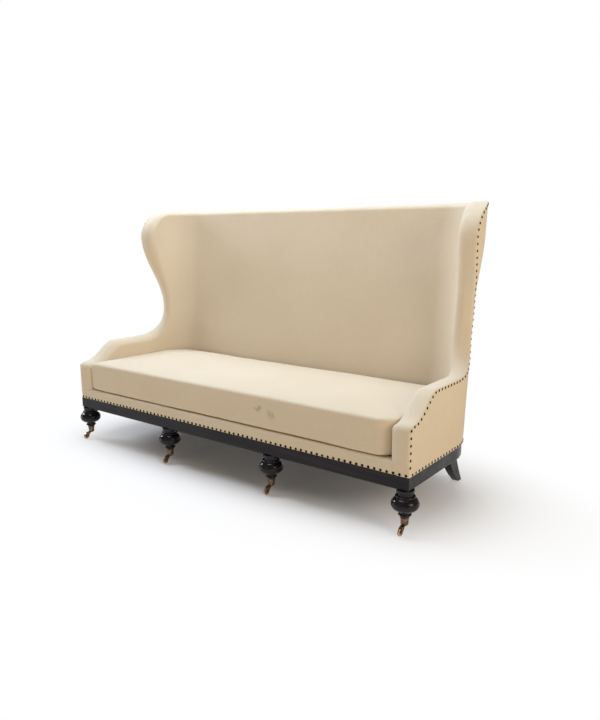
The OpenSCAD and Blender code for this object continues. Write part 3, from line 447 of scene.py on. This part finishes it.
# The share of its half length at which an end starts to thin, and how much it thins
END_START, END_THIN = 0.84, 0.14
# Squareness of the section, then of its fold in width and height, above and below
SECTION, UPPER_FOLD, LOWER_FOLD = 0.42, (0.06, 0.14), (0.09, 0.18)
REACH = cushion_high.x - ARM_SWELL
print("cushion box", [round(v, 4) for v in (*cushion_low, *cushion_high)])


# %% The filled cushion
def cushion_outline(x):
    """Front and back of the cushion at x."""
    corner = RIGHT_CORNER if x > 0 else LEFT_CORNER
    e = max(abs(x) - REACH + corner, 0) / corner
    front = front_y + SET_BACK + corner * (1 - math.sqrt(max(1 - e * e, 0)))
    side_r, back_r = CORNER - SIDE_THICK - SIDE_GAP, CORNER - BACK_THICK - SIDE_GAP
    e = max(abs(x) - HALF + CORNER, 0) / side_r
    back = cushion_high.y - back_r * (1 - math.sqrt(max(1 - e * e, 0)))
    return front, back


def cushion_mesh(across=220, around=72):
    """Rings of points round the cushion, from its left end to its right one."""
    verts, faces = [], []
    for i in range(across + 1):
        # Rings stand closer together towards the ends
        along = 2 * i / across - 1
        x = REACH * (0.25 * along + 0.75 * math.sin(math.pi / 2 * along))
        front, back = cushion_outline(x)
        e = max(abs(x) / REACH - END_START, 0) / (1 - END_START)
        fill = math.sqrt(max(1 - e ** 6, 0))
        ends = 1 - END_THIN + END_THIN * fill
        for k in range(around):
            w = 2 * math.pi * (k + 0.5) / around
            c, s = math.cos(w), math.sin(w)
            wide, tall = UPPER_FOLD if s > 0 else LOWER_FOLD
            u = math.copysign(abs(c) ** SECTION, c)
            v = math.copysign((1 - abs(c) ** (2 * SECTION / wide)) ** (tall / 2), s)
            y = front + (back - front) * (1 + u) / 2
            rise = CROWN * fill * (1 - (abs(x) / REACH) ** 4) * (1 - u * u)
            half = EDGE_HEIGHT / 2
            z = cushion_low.z + half + v * half * ends + (rise if v > 0 else 0)
            verts.append((x, y, z))
    for i in range(across):
        for k in range(around):
            m = (k + 1) % around
            faces.append((i * around + k, i * around + m, (i + 1) * around + m,
                          (i + 1) * around + k))
    faces.append(tuple(range(around))[::-1])
    faces.append(tuple(across * around + k for k in range(around)))
    return verts, faces


cushion = show_points("bench_cushion", *cushion_mesh())
box_uv(cushion)
roughen(cushion, ((3.0, 0.0030), (9.0, 0.0010)))
print("cushion:", len(cushion.data.polygons), "faces")

# %% [markdown]
# ## Finishes
# Linen is a plain weave: thread over, thread under. Two waves across each other on the flat
# cloth give the threads, a stretched noise along each direction gives slubs, a slow one gives
# tone, and the height of the weave drives a bump. The same recipe at a coarser scale makes
# hessian.

# %% Helpers for node materials
def new_material(name):
    material = bpy.data.materials.new(name)
    material.use_nodes = True
    tree = material.node_tree
    return material, tree, tree.nodes["Principled BSDF"]


def node(tree, kind, inputs=None, **settings):
    """Makes a node. An input is a number, a colour, or the output of another node."""
    made = tree.nodes.new(kind)
    for key, value in settings.items():
        setattr(made, key, value)
    for key, value in (inputs or {}).items():
        if hasattr(value, "is_linked"):
            tree.links.new(value, made.inputs[key])
        else:
            made.inputs[key].default_value = value
    return made


def ramp(tree, value, stops):
    made = node(tree, "ShaderNodeValToRGB", {"Fac": value})
    elements = made.color_ramp.elements
    for element, (where, colour) in zip(elements, stops):
        element.position = where
        element.color = (*colour, 1)
    return made.outputs["Color"]


def object_place(tree):
    return node(tree, "ShaderNodeTexCoord").outputs["Object"]


def mottle(tree, where, scale, detail, **more):
    """A noise, from 0 to 1."""
    return node(tree, "ShaderNodeTexNoise",
                {"Vector": where, "Scale": scale, "Detail": detail, **more}).outputs["Fac"]


def streaks(tree, where, stretch, detail, **more):
    """A noise drawn out along one direction."""
    long = node(tree, "ShaderNodeMapping", {"Vector": where, "Scale": stretch}).outputs[0]
    return mottle(tree, long, 1.0, detail, **more)


def maths(tree, operation, *values):
    return node(tree, "ShaderNodeMath", dict(enumerate(values)), operation=operation).outputs[0]


def mixed(tree, factor, a, b, **settings):
    return node(tree, "ShaderNodeMix", {"Factor": factor, "A": a, "B": b}, data_type="RGBA",
                **settings).outputs["Result"]


def spread(tree, value, low, high, to_low, to_high):
    """Maps values between low and high to the range between to_low and to_high."""
    return node(tree, "ShaderNodeMapRange", {"Value": value, "From Min": low, "From Max": high,
                "To Min": to_low, "To Max": to_high}).outputs["Result"]


def dress(tree, shader, colour, height=None, strength=0.0, distance=0.0, **numbers):
    """Links colour and bump to the shader and sets its plain numbers."""
    tree.links.new(colour, shader.inputs["Base Color"])
    if height is not None:
        bump = node(tree, "ShaderNodeBump",
                    {"Height": height, "Strength": strength, "Distance": distance})
        tree.links.new(bump.outputs["Normal"], shader.inputs["Normal"])
    for key, value in numbers.items():
        shader.inputs[key.replace("_", " ")].default_value = value


# %% Woven cloth
BLACK, WHITE, SOIL = (0, 0, 0), (1, 1, 1), (0.24, 0.19, 0.11, 1)


def woven(name, light, dark, pitch, depth, roughness, sheen, tone, marks=()):
    """A plain weave on the flat cloth, pitch metres from thread to thread."""
    material, tree, shader = new_material(name)
    flat = node(tree, "ShaderNodeUVMap", uv_map="cloth").outputs["UV"]
    # A wave repeats after pi / 10 over its scale, and that is two threads
    threads = [node(tree, "ShaderNodeTexWave", {"Vector": flat, "Scale": 1 / pitch / 20 * math.pi,
               "Distortion": 0.6, "Detail": 1.0, "Detail Scale": 2.0}, wave_type="BANDS",
               bands_direction=direction, wave_profile="SIN").outputs["Fac"]
               for direction in ("X", "Y")]
    weave = maths(tree, "MULTIPLY", *threads)
    slubs = [streaks(tree, flat, stretch, 4.0) for stretch in ((14.0, 420.0, 1.0),
                                                              (420.0, 14.0, 1.0))]
    slub = maths(tree, "MULTIPLY", maths(tree, "ADD", *slubs), 0.5)
    body = object_place(tree)
    cloud = mottle(tree, body, 2.2, 5.0)
    fine = ramp(tree, slub, ((0.42, dark), (0.62, light)))
    toned = mixed(tree, ramp(tree, cloud, ((0.35, BLACK), (0.75, WHITE))), fine, (*tone, 1),
                  blend_type="MULTIPLY")
    colour = mixed(tree, ramp(tree, weave, ((0.0, (0.10,) * 3), (0.25, BLACK))), toned,
                   (*dark, 1))
    for spot, size, strength in marks:
        reach = node(tree, "ShaderNodeVectorMath", {0: body, 1: spot},
                     operation="DISTANCE").outputs["Value"]
        ragged = maths(tree, "MULTIPLY_ADD", mottle(tree, body, 55.0, 4.0), size * 3, reach)
        soil = spread(tree, ragged, size * 1.5, size * 2.5, strength, 0.0)
        colour = mixed(tree, soil, colour, SOIL)
    dress(tree, shader, colour, maths(tree, "ADD", weave, slub), 0.35, depth, Roughness=roughness,
          Sheen_Weight=sheen, Sheen_Roughness=0.45, Specular_IOR_Level=0.25)
    return material


def cream(name, marks=()):
    return woven(name, (0.765, 0.657, 0.500), (0.728, 0.616, 0.460), 0.0011, 0.0003, 0.88, 0.10,
                 (0.955, 0.94, 0.92), marks)


linen = cream("cream_linen")
worn_linen = cream("worn_linen", (((0.305, front_y + 0.006, 0.408), 0.022, 0.60),
                                  ((0.375, front_y + 0.006, 0.393), 0.026, 0.36)))
hessian = woven("jute_hessian", (0.46, 0.33, 0.18), (0.22, 0.15, 0.08), 0.0024, 0.0010, 0.95, 0.1,
                (0.8, 0.78, 0.74))
calico = woven("black_calico", (0.030, 0.030, 0.032), (0.012, 0.012, 0.013), 0.0009, 0.0003, 0.9,
               0.15, (0.8, 0.8, 0.8))
print("cloths:", linen.name, worn_linen.name, hessian.name, calico.name)

# %% [markdown]
# ## Wood and metal
# Ebonised wood is beech stained black and polished, so its grain hardly shows and its gloss
# varies where hands and feet have dulled it. The hidden frame is plain planed beech. Old brass
# and bronzed nails are dark in most places and clean where they are rubbed, which one noise
# gives for colour, gloss and surface together.

# %% Woods
def ebonised(name, shine, polish):
    material, tree, shader = new_material(name)
    body = object_place(tree)
    grain = streaks(tree, body, (3.0, 60.0, 60.0), 6.0, Roughness=0.6)
    colour = ramp(tree, grain, ((0.35, (0.0085, 0.0068, 0.0082)), (0.70, (0.0195, 0.0165, 0.0195))))
    dull = spread(tree, mottle(tree, body, 18.0, 5.0), 0.3, 0.7, polish, polish + 0.16)
    tree.links.new(dull, shader.inputs["Roughness"])
    dress(tree, shader, colour, grain, 0.12, 0.0003, Specular_IOR_Level=shine, Coat_Weight=0.05,
          Coat_Roughness=0.12)
    return material


def beech(name):
    material, tree, shader = new_material(name)
    grain = streaks(tree, object_place(tree), (4.0, 40.0, 40.0), 7.0)
    dress(tree, shader, ramp(tree, grain, ((0.30, (0.36, 0.21, 0.10)), (0.70, (0.58, 0.40, 0.22)))),
          Roughness=0.6)
    return material


# %% Metals, and a finish for every node
def old_metal(name, clean, tarnish, low, high, scale, bare=1.0):
    """Low and high are the roughness where it is rubbed and where it is tarnished."""
    material, tree, shader = new_material(name)
    patina = mottle(tree, object_place(tree), scale, 6.0, Roughness=0.65)
    dull = spread(tree, patina, 0.3, 0.7, high, low)
    tree.links.new(dull, shader.inputs["Roughness"])
    dress(tree, shader, ramp(tree, patina, ((0.38, tarnish), (0.62, clean))), patina, 0.15, 0.0004,
          Metallic=bare, Specular_IOR_Level=0.5 * bare)
    return material


show_wood = ebonised("ebonised_rail", 0.17, 0.28)
turned_wood = ebonised("ebonised_legs", 0.24, 0.10)
frame_wood = beech("planed_beech")
brass = old_metal("dark_brass", (0.30, 0.19, 0.11), (0.09, 0.058, 0.04), 0.30, 0.52, 90.0)
wheel_brass = old_metal("rubbed_wheel", (0.62, 0.40, 0.27), (0.30, 0.18, 0.11), 0.26, 0.42, 90.0)
bronze = old_metal("bronzed_nail", (0.030, 0.018, 0.011), (0.010, 0.0065, 0.0045), 0.56, 0.72,
                   60.0, 0.08)
finish_of = {"show_wood": show_wood, "beech": frame_wood, "brass": brass, "linen": linen,
             "hessian": hessian, "dust_cloth": calico, "nail_bronze": bronze}
slot_of = {part["node"]: part["material_slot"] for part in frame["record"]["subparts"]}
for name, shown in frame["nodes"].items():
    finish = finish_of[slot_of[name]]
    if "wheel" in name:
        finish = wheel_brass
    elif "front_leg" in name:
        finish = turned_wood
    shown.data.materials.clear()
    shown.data.materials.append(finish)
print("finishes on", len(frame["nodes"]), "nodes")

# %% [markdown]
# ## Cloth that the eye meets less
# The platform under the cushion is hessian over stuffing, and black calico closes the frame
# from below. Each is a thin skin a little smaller than its place, so nothing rubs.

# %% Platform and dust cover
SHEET_INSET, SHEET_STEPS = 0.001, (90, 34)


def outline_sheet(name, node_name, level, sag=0.0):
    """A grid over the outline of a node, with its rounded rear corners, at one height."""
    low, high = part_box(node_name)
    radius = high.x - HALF + CORNER
    verts = []
    for i in range(SHEET_STEPS[0] + 1):
        for k in range(SHEET_STEPS[1] + 1):
            u, v = i / SHEET_STEPS[0], k / SHEET_STEPS[1]
            x = (low.x + SHEET_INSET) * (1 - u) + (high.x - SHEET_INSET) * u
            reach = max(abs(x) - HALF + CORNER, 0)
            bend = math.sqrt(max(radius * radius - reach * reach, 0))
            back = high.y - SHEET_INSET - radius + bend
            y = (low.y + SHEET_INSET) * (1 - v) + back * v
            verts.append((x, y, level - sag * 16 * u * (1 - u) * v * (1 - v)))
    piece = show_points(name, verts, grid_faces(SHEET_STEPS[0] + 1, SHEET_STEPS[1] + 1))
    box_uv(piece)
    return piece


platform_low, platform_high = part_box("seat_platform")
platform = outline_sheet("platform_cover", "seat_platform", platform_high.z - 0.0002)
bm = bmesh.new()
bm.from_mesh(platform.data)
rim = [e for e in bm.edges if e.is_boundary]
for v in bmesh.ops.extrude_edge_only(bm, edges=rim)["geom"]:
    if isinstance(v, bmesh.types.BMVert):
        v.co.z = platform_low.z + 0.0002
bm.to_mesh(platform.data)
bm.free()
dust = outline_sheet("dust_cloth", "dust_cover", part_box("dust_cover")[1].z - 0.0006, sag=0.004)
print("platform:", len(platform.data.polygons), "faces, dust cover:", len(dust.data.polygons))

# %% [markdown]
# ## Webbing
# Jute straps are tacked over the seat rails, five along and sixteen across, each over one and
# under the next. Each strap here is a ribbon whose height follows a cosine between its
# neighbours, and its end stops on the rounded frame.

# %% The straps
STRAP_HALF, LIFT = 0.025, 0.0007
# The first row from the front, the spacing of rows, and the bend that the ends stop on
FIRST_ROW, ROW_STEP = 0.0873, (0.729 - 0.0423 - 0.09) / 6
BEND_START, BEND = 0.465, 0.233
FIRST_COLUMN, COLUMNS = SIDE_THICK + 0.05, 16


def straps():
    verts, faces = [], []
    low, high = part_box("webbing")
    mid = (low.z + high.z) / 2
    rows = [front_y + FIRST_ROW + k * ROW_STEP for k in range(1, 6)]
    columns = [-HALF + FIRST_COLUMN + i * (2 * HALF - 2 * FIRST_COLUMN) / (COLUMNS - 1)
               for i in range(COLUMNS)]

    def ribbon(points, across):
        start = len(verts)
        for p in points:
            for s in (-STRAP_HALF, STRAP_HALF):
                verts.append((p[0] + across[0] * s, p[1] + across[1] * s, p[2]))
        for i in range(len(points) - 1):
            j = start + 2 * i
            faces.append((j, j + 1, j + 3, j + 2))

    def heights(run, crossed, turn):
        """Over and under the straps that this one crosses."""
        step = crossed[1] - crossed[0]
        return [mid + LIFT * math.cos(math.pi * (v - crossed[0]) / step) * (1 if turn else -1)
                for v in run]

    for i, x in enumerate(columns):
        reach = max(abs(x) + STRAP_HALF - HALF + CORNER, 0)
        end = front_y + BEND_START + math.sqrt(BEND ** 2 - reach ** 2)
        run = np.linspace(low.y, end, 90)
        ribbon([(x, v, z) for v, z in zip(run, heights(run, rows, i % 2))], (1, 0))
    for k, y in enumerate(rows):
        reach = max(y + STRAP_HALF - front_y - BEND_START, 0)
        end = HALF - CORNER + math.sqrt(BEND ** 2 - reach ** 2)
        run = np.linspace(-end, end, 260)
        ribbon([(v, y, z) for v, z in zip(run, heights(run, columns, k % 2))], (0, 1))
    piece = show_points("webbing_straps", verts, faces)
    box_uv(piece)
    return piece


webbing = straps()
print("straps:", len(webbing.data.polygons), "faces")

# %% [markdown]
# ## The nail heads
# Domed nails hold the covers, set close together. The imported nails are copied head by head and
# made somewhat broader, and the lowest row is set down on to the rail, as the real one is. A head
# keeps its place on the cloth, so the row still follows every edge and corner.

# %% Broader nail heads
BROADER, SET_DOWN = 1.16, 0.0035
# A head this low over the rail is in the lowest row, and one this near the front is on its face
LOW_ROW, FRONT_FACE = 0.015, 0.02


def nail_heads():
    bm = bmesh.new()
    bm.from_mesh(frame["nodes"]["nails"].data)
    bmesh.ops.remove_doubles(bm, verts=bm.verts, dist=1e-6)
    count = 0
    for first in bm.verts:
        if first.tag:
            continue
        first.tag = True
        head = [first]
        for v in head:
            for e in v.link_edges:
                other = e.other_vert(v)
                if not other.tag:
                    other.tag = True
                    head.append(other)
        centre = sum((v.co for v in head), Vector()) / len(head)
        move = Vector()
        if centre.z < RAIL_TOP + LOW_ROW:
            lean = -RAKE * SET_DOWN if centre.y > front_y + FRONT_FACE else 0
            move = Vector((0, lean, -SET_DOWN))
        for v in head:
            v.co = centre + (v.co - centre) * BROADER + move
        count += 1
    print("nail heads:", count)
    return show_bmesh("nail_heads", bm)


nails = nail_heads()

# %% [markdown]
# ## The castor forks
# A castor's fork is one casting. Two cheeks hold the axle, and a saddle joins them over the
# wheel under the swivel plate. Its outline is drawn from the side, from the swivel axis, and
# every edge is rounded as a worn casting is.

# %% Cast one fork for each castor, in millimetres
CHEEK = ((5, 39.6), (-12, 39.6), (-25, 38.2), (-35, 33), (-42.5, 25), (-44.3, 17.5), (-42, 10.8),
         (-36, 8.8), (-29.8, 11.4), (-24, 19), (-17, 27), (-9, 35.6), (5, 35.6))
SADDLE = ((5, 39.6), (-12, 39.6), (-24.7, 38.6), (-32.1, 39.4), (-32.7, 36.4), (-26.5, 34.1),
          (-21.4, 29.9), (-18, 24), (-14.9, 25.2), (-11, 35.6), (5, 35.6))
# Each outline with the left and right face of its slab
SLABS = ((CHEEK, 5.7, 8.6), (CHEEK, -8.6, -5.7), (SADDLE, -6.2, 6.2))
PLATE_RADIUS, PLATE_THICK, PLATE_MIDDLE, WORN = 0.012, 0.004, 0.0376, 0.0008


def cast_fork(name, x, y):
    bm = bmesh.new()
    for outline, x0, x1 in SLABS:
        caps = [[bm.verts.new((x + v / 1000, y + a / 1000, z / 1000)) for a, z in outline]
                for v in (x0, x1)]
        bm.faces.new(caps[0])
        bm.faces.new(caps[1][::-1])
        for i in range(len(outline)):
            k = (i + 1) % len(outline)
            bm.faces.new((caps[0][i], caps[1][i], caps[1][k], caps[0][k]))
    plate = bmesh.ops.create_cone(bm, cap_ends=True, segments=40, radius1=PLATE_RADIUS,
                                  radius2=PLATE_RADIUS, depth=PLATE_THICK)
    bmesh.ops.translate(bm, verts=plate["verts"], vec=(x, y, PLATE_MIDDLE))
    bmesh.ops.recalc_face_normals(bm, faces=bm.faces)
    fork = show_bmesh(name, bm)
    bevel = fork.modifiers.new("worn_edges", "BEVEL")
    bevel.width, bevel.segments = WORN, 3
    bevel.limit_method, bevel.angle_limit = "ANGLE", math.radians(40)
    bevel.harden_normals = True
    fork.data.materials.append(brass)
    return fork


for i in range(1, 5):
    low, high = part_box(f"castor_cup_{i}")
    fork = cast_fork(f"fork_{i}", (low.x + high.x) / 2, (low.y + high.y) / 2)
    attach(fork, f"castor_swivel_{i}")
    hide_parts(f"castor_horn_{i}")
print("forks: 4")

# %% [markdown]
# ## What each piece stands for
# A piece made here takes the place of solids in the imported model, which are hidden. It moves with
# the body that they are on, and it takes its finish.

# %% Give each piece its body and finish
for piece, body, slot, finish, nodes in (
        (inside_cover, "root", "linen", linen,
         ("inside_arm_left", "inside_arm_right", "inside_wing_left", "inside_wing_right",
          "inside_back")),
        (outside_cover, "root", "linen", linen,
         ("outside_arm_covers", "outside_wing_left", "outside_wing_right", "outside_back")),
        (seat_border, "root", "linen", linen, ("seat_border",)),
        (cushion, "cushion", "linen", worn_linen, ("seat_cushion",)),
        (platform, "root", "hessian", hessian, ("seat_platform",)),
        (dust, "root", "dust_cloth", calico, ("dust_cover",)),
        (webbing, "root", "hessian", hessian, ("webbing",)),
        (nails, "root", "nail_bronze", bronze, ("nails",))):
    piece.data.materials.clear()
    piece.data.materials.append(finish)
    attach(piece, body)
    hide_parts(*nodes)

# %% [markdown]
# ## Floor, light and camera
# The photograph has a white ground with a soft shadow. The floor is pale, and it glows a little
# even next to the settee. That glow is painted light, which lifts the shadow there. Away from the
# settee the glow grows into plain white. Diffuse rays find the glow warm, so the floor also lights
# the settee from below like a lamp. Large soft lamps stand in for the studio's, the strongest
# overhead and from the left, with a warm one from the right.

# %% The floor
# Where the floor's white glow starts and where it is full, and the least glow, which is painted
# light that lifts the shadow under the settee
FADE_START, FADE_END, LEAST_GLOW = 0.34, 0.98, 0.045
bpy.ops.mesh.primitive_plane_add(size=60, location=(0, 0, 0))
floor = bpy.context.object
floor.name = "floor"
material, tree, shader = new_material("white_floor")
shader.inputs["Base Color"].default_value = (0.93, 0.895, 0.865, 1)
shader.inputs["Roughness"].default_value = 0.9
shader.inputs["Specular IOR Level"].default_value = 0.2
oval = node(tree, "ShaderNodeVectorMath", {0: object_place(tree), 1: (0.50, 1.0, 1.0)},
            operation="MULTIPLY").outputs[0]
away = node(tree, "ShaderNodeVectorMath", {0: oval}, operation="LENGTH").outputs["Value"]
fade = node(tree, "ShaderNodeMapRange", {"Value": away, "From Min": FADE_START,
            "From Max": FADE_END, "To Min": LEAST_GLOW},
            interpolation_type="SMOOTHSTEP").outputs["Result"]
# The floor's glow is painted light: warm to diffuse rays, so that it lights the settee from below,
# and white where the camera sees it
glow_colour = mixed(tree, node(tree, "ShaderNodeLightPath").outputs["Is Diffuse Ray"],
               (1, 1, 1, 1), (0.95, 0.86, 0.74, 1))
# The floor's own glow: a white backdrop far off, and painted light on the shadow near the settee
backdrop_glow = node(tree, "ShaderNodeEmission", {"Color": glow_colour, "Strength": 1.0})
ground = node(tree, "ShaderNodeMixShader", {0: fade, 1: shader.outputs[0], 2: backdrop_glow.outputs[0]})
tree.links.new(ground.outputs[0], tree.nodes["Material Output"].inputs["Surface"])
floor.data.materials.append(material)
print("floor fades from", FADE_START, "to", FADE_END, "m, twice that along the settee")

# %% The world
world = bpy.data.worlds.new("studio")
bpy.context.scene.world = world
world.use_nodes = True
tree = world.node_tree
tree.nodes.clear()
# The camera sees white, and the settee gets a dim warm light from all round
path = node(tree, "ShaderNodeLightPath")
dim = node(tree, "ShaderNodeBackground", {"Color": (1.0, 0.90, 0.77, 1), "Strength": 0.20})
white = node(tree, "ShaderNodeBackground", {"Color": (1, 1, 1, 1), "Strength": 1.0})
sky = node(tree, "ShaderNodeMixShader",
           {0: path.outputs["Is Camera Ray"], 1: dim.outputs[0], 2: white.outputs[0]})
node(tree, "ShaderNodeOutputWorld", {"Surface": sky.outputs[0]})
print("world:", len(tree.nodes), "nodes")


# %% Lamps
def lamp(name, place_at, target, size, watts, colour):
    data = bpy.data.lights.new(name, "AREA")
    data.size, data.energy, data.color = size, watts, colour
    made = bpy.data.objects.new(name, data)
    made.location = place_at
    facing = Vector(target) - Vector(place_at)
    made.rotation_euler = facing.to_track_quat("-Z", "Y").to_euler()
    bpy.context.scene.collection.objects.link(made)


lamp("top", (-0.25, 0.34, 4.0), (0, 0, 0.4), 2.8, 152, (0.75, 0.86, 1.0))
lamp("front", (-0.6, -5.2, 2.0), (0, 0, 0.6), 2.6, 11, (1.0, 0.76, 0.52))
lamp("right", (4.6, -0.9, 2.0), (0.6, 0, 0.6), 2.0, 62, (1.0, 0.85, 0.66))
lamp("left", (-4.8, -0.6, 2.6), (0.6, 0, 0.8), 1.6, 127, (0.73, 0.83, 1.0))
print("lamps:", len(bpy.data.lights))

# %% The camera, as the photograph was taken
# Focal length and centre of view in pixels of a 600 by 720 picture, and angles in radians
SENSOR, WIDE, HIGH = 36, 600, 720
FOCAL, CENTRE_X, CENTRE_Y = 636.306875, 299.93948, 357.141981
YAW, PITCH, TILT = 0.647768788, 0.187645199, -0.00165732751
STAND = (2.20653349, -2.18547423 + front_y, 1.20687587)
ahead = Vector((-math.sin(YAW) * math.cos(PITCH), math.cos(YAW) * math.cos(PITCH),
                -math.sin(PITCH)))
right = Vector((math.cos(YAW), math.sin(YAW), 0))
up = right.cross(ahead)
right, up = (right * math.cos(TILT) + up * math.sin(TILT),
             up * math.cos(TILT) - right * math.sin(TILT))
data = bpy.data.cameras.new("camera")
data.sensor_width = SENSOR
data.lens = SENSOR * FOCAL / HIGH
data.shift_x = (WIDE / 2 - CENTRE_X) / HIGH
data.shift_y = (CENTRE_Y - HIGH / 2) / HIGH
camera = bpy.data.objects.new("camera", data)
turned = Matrix((right, up, -ahead)).transposed().to_4x4()
camera.matrix_world = Matrix.Translation(STAND) @ turned
bpy.context.scene.collection.objects.link(camera)
bpy.context.scene.camera = camera
bpy.context.scene.view_settings.view_transform = "Standard"
print("camera at", [round(v, 3) for v in camera.location], "lens", round(data.lens, 2))
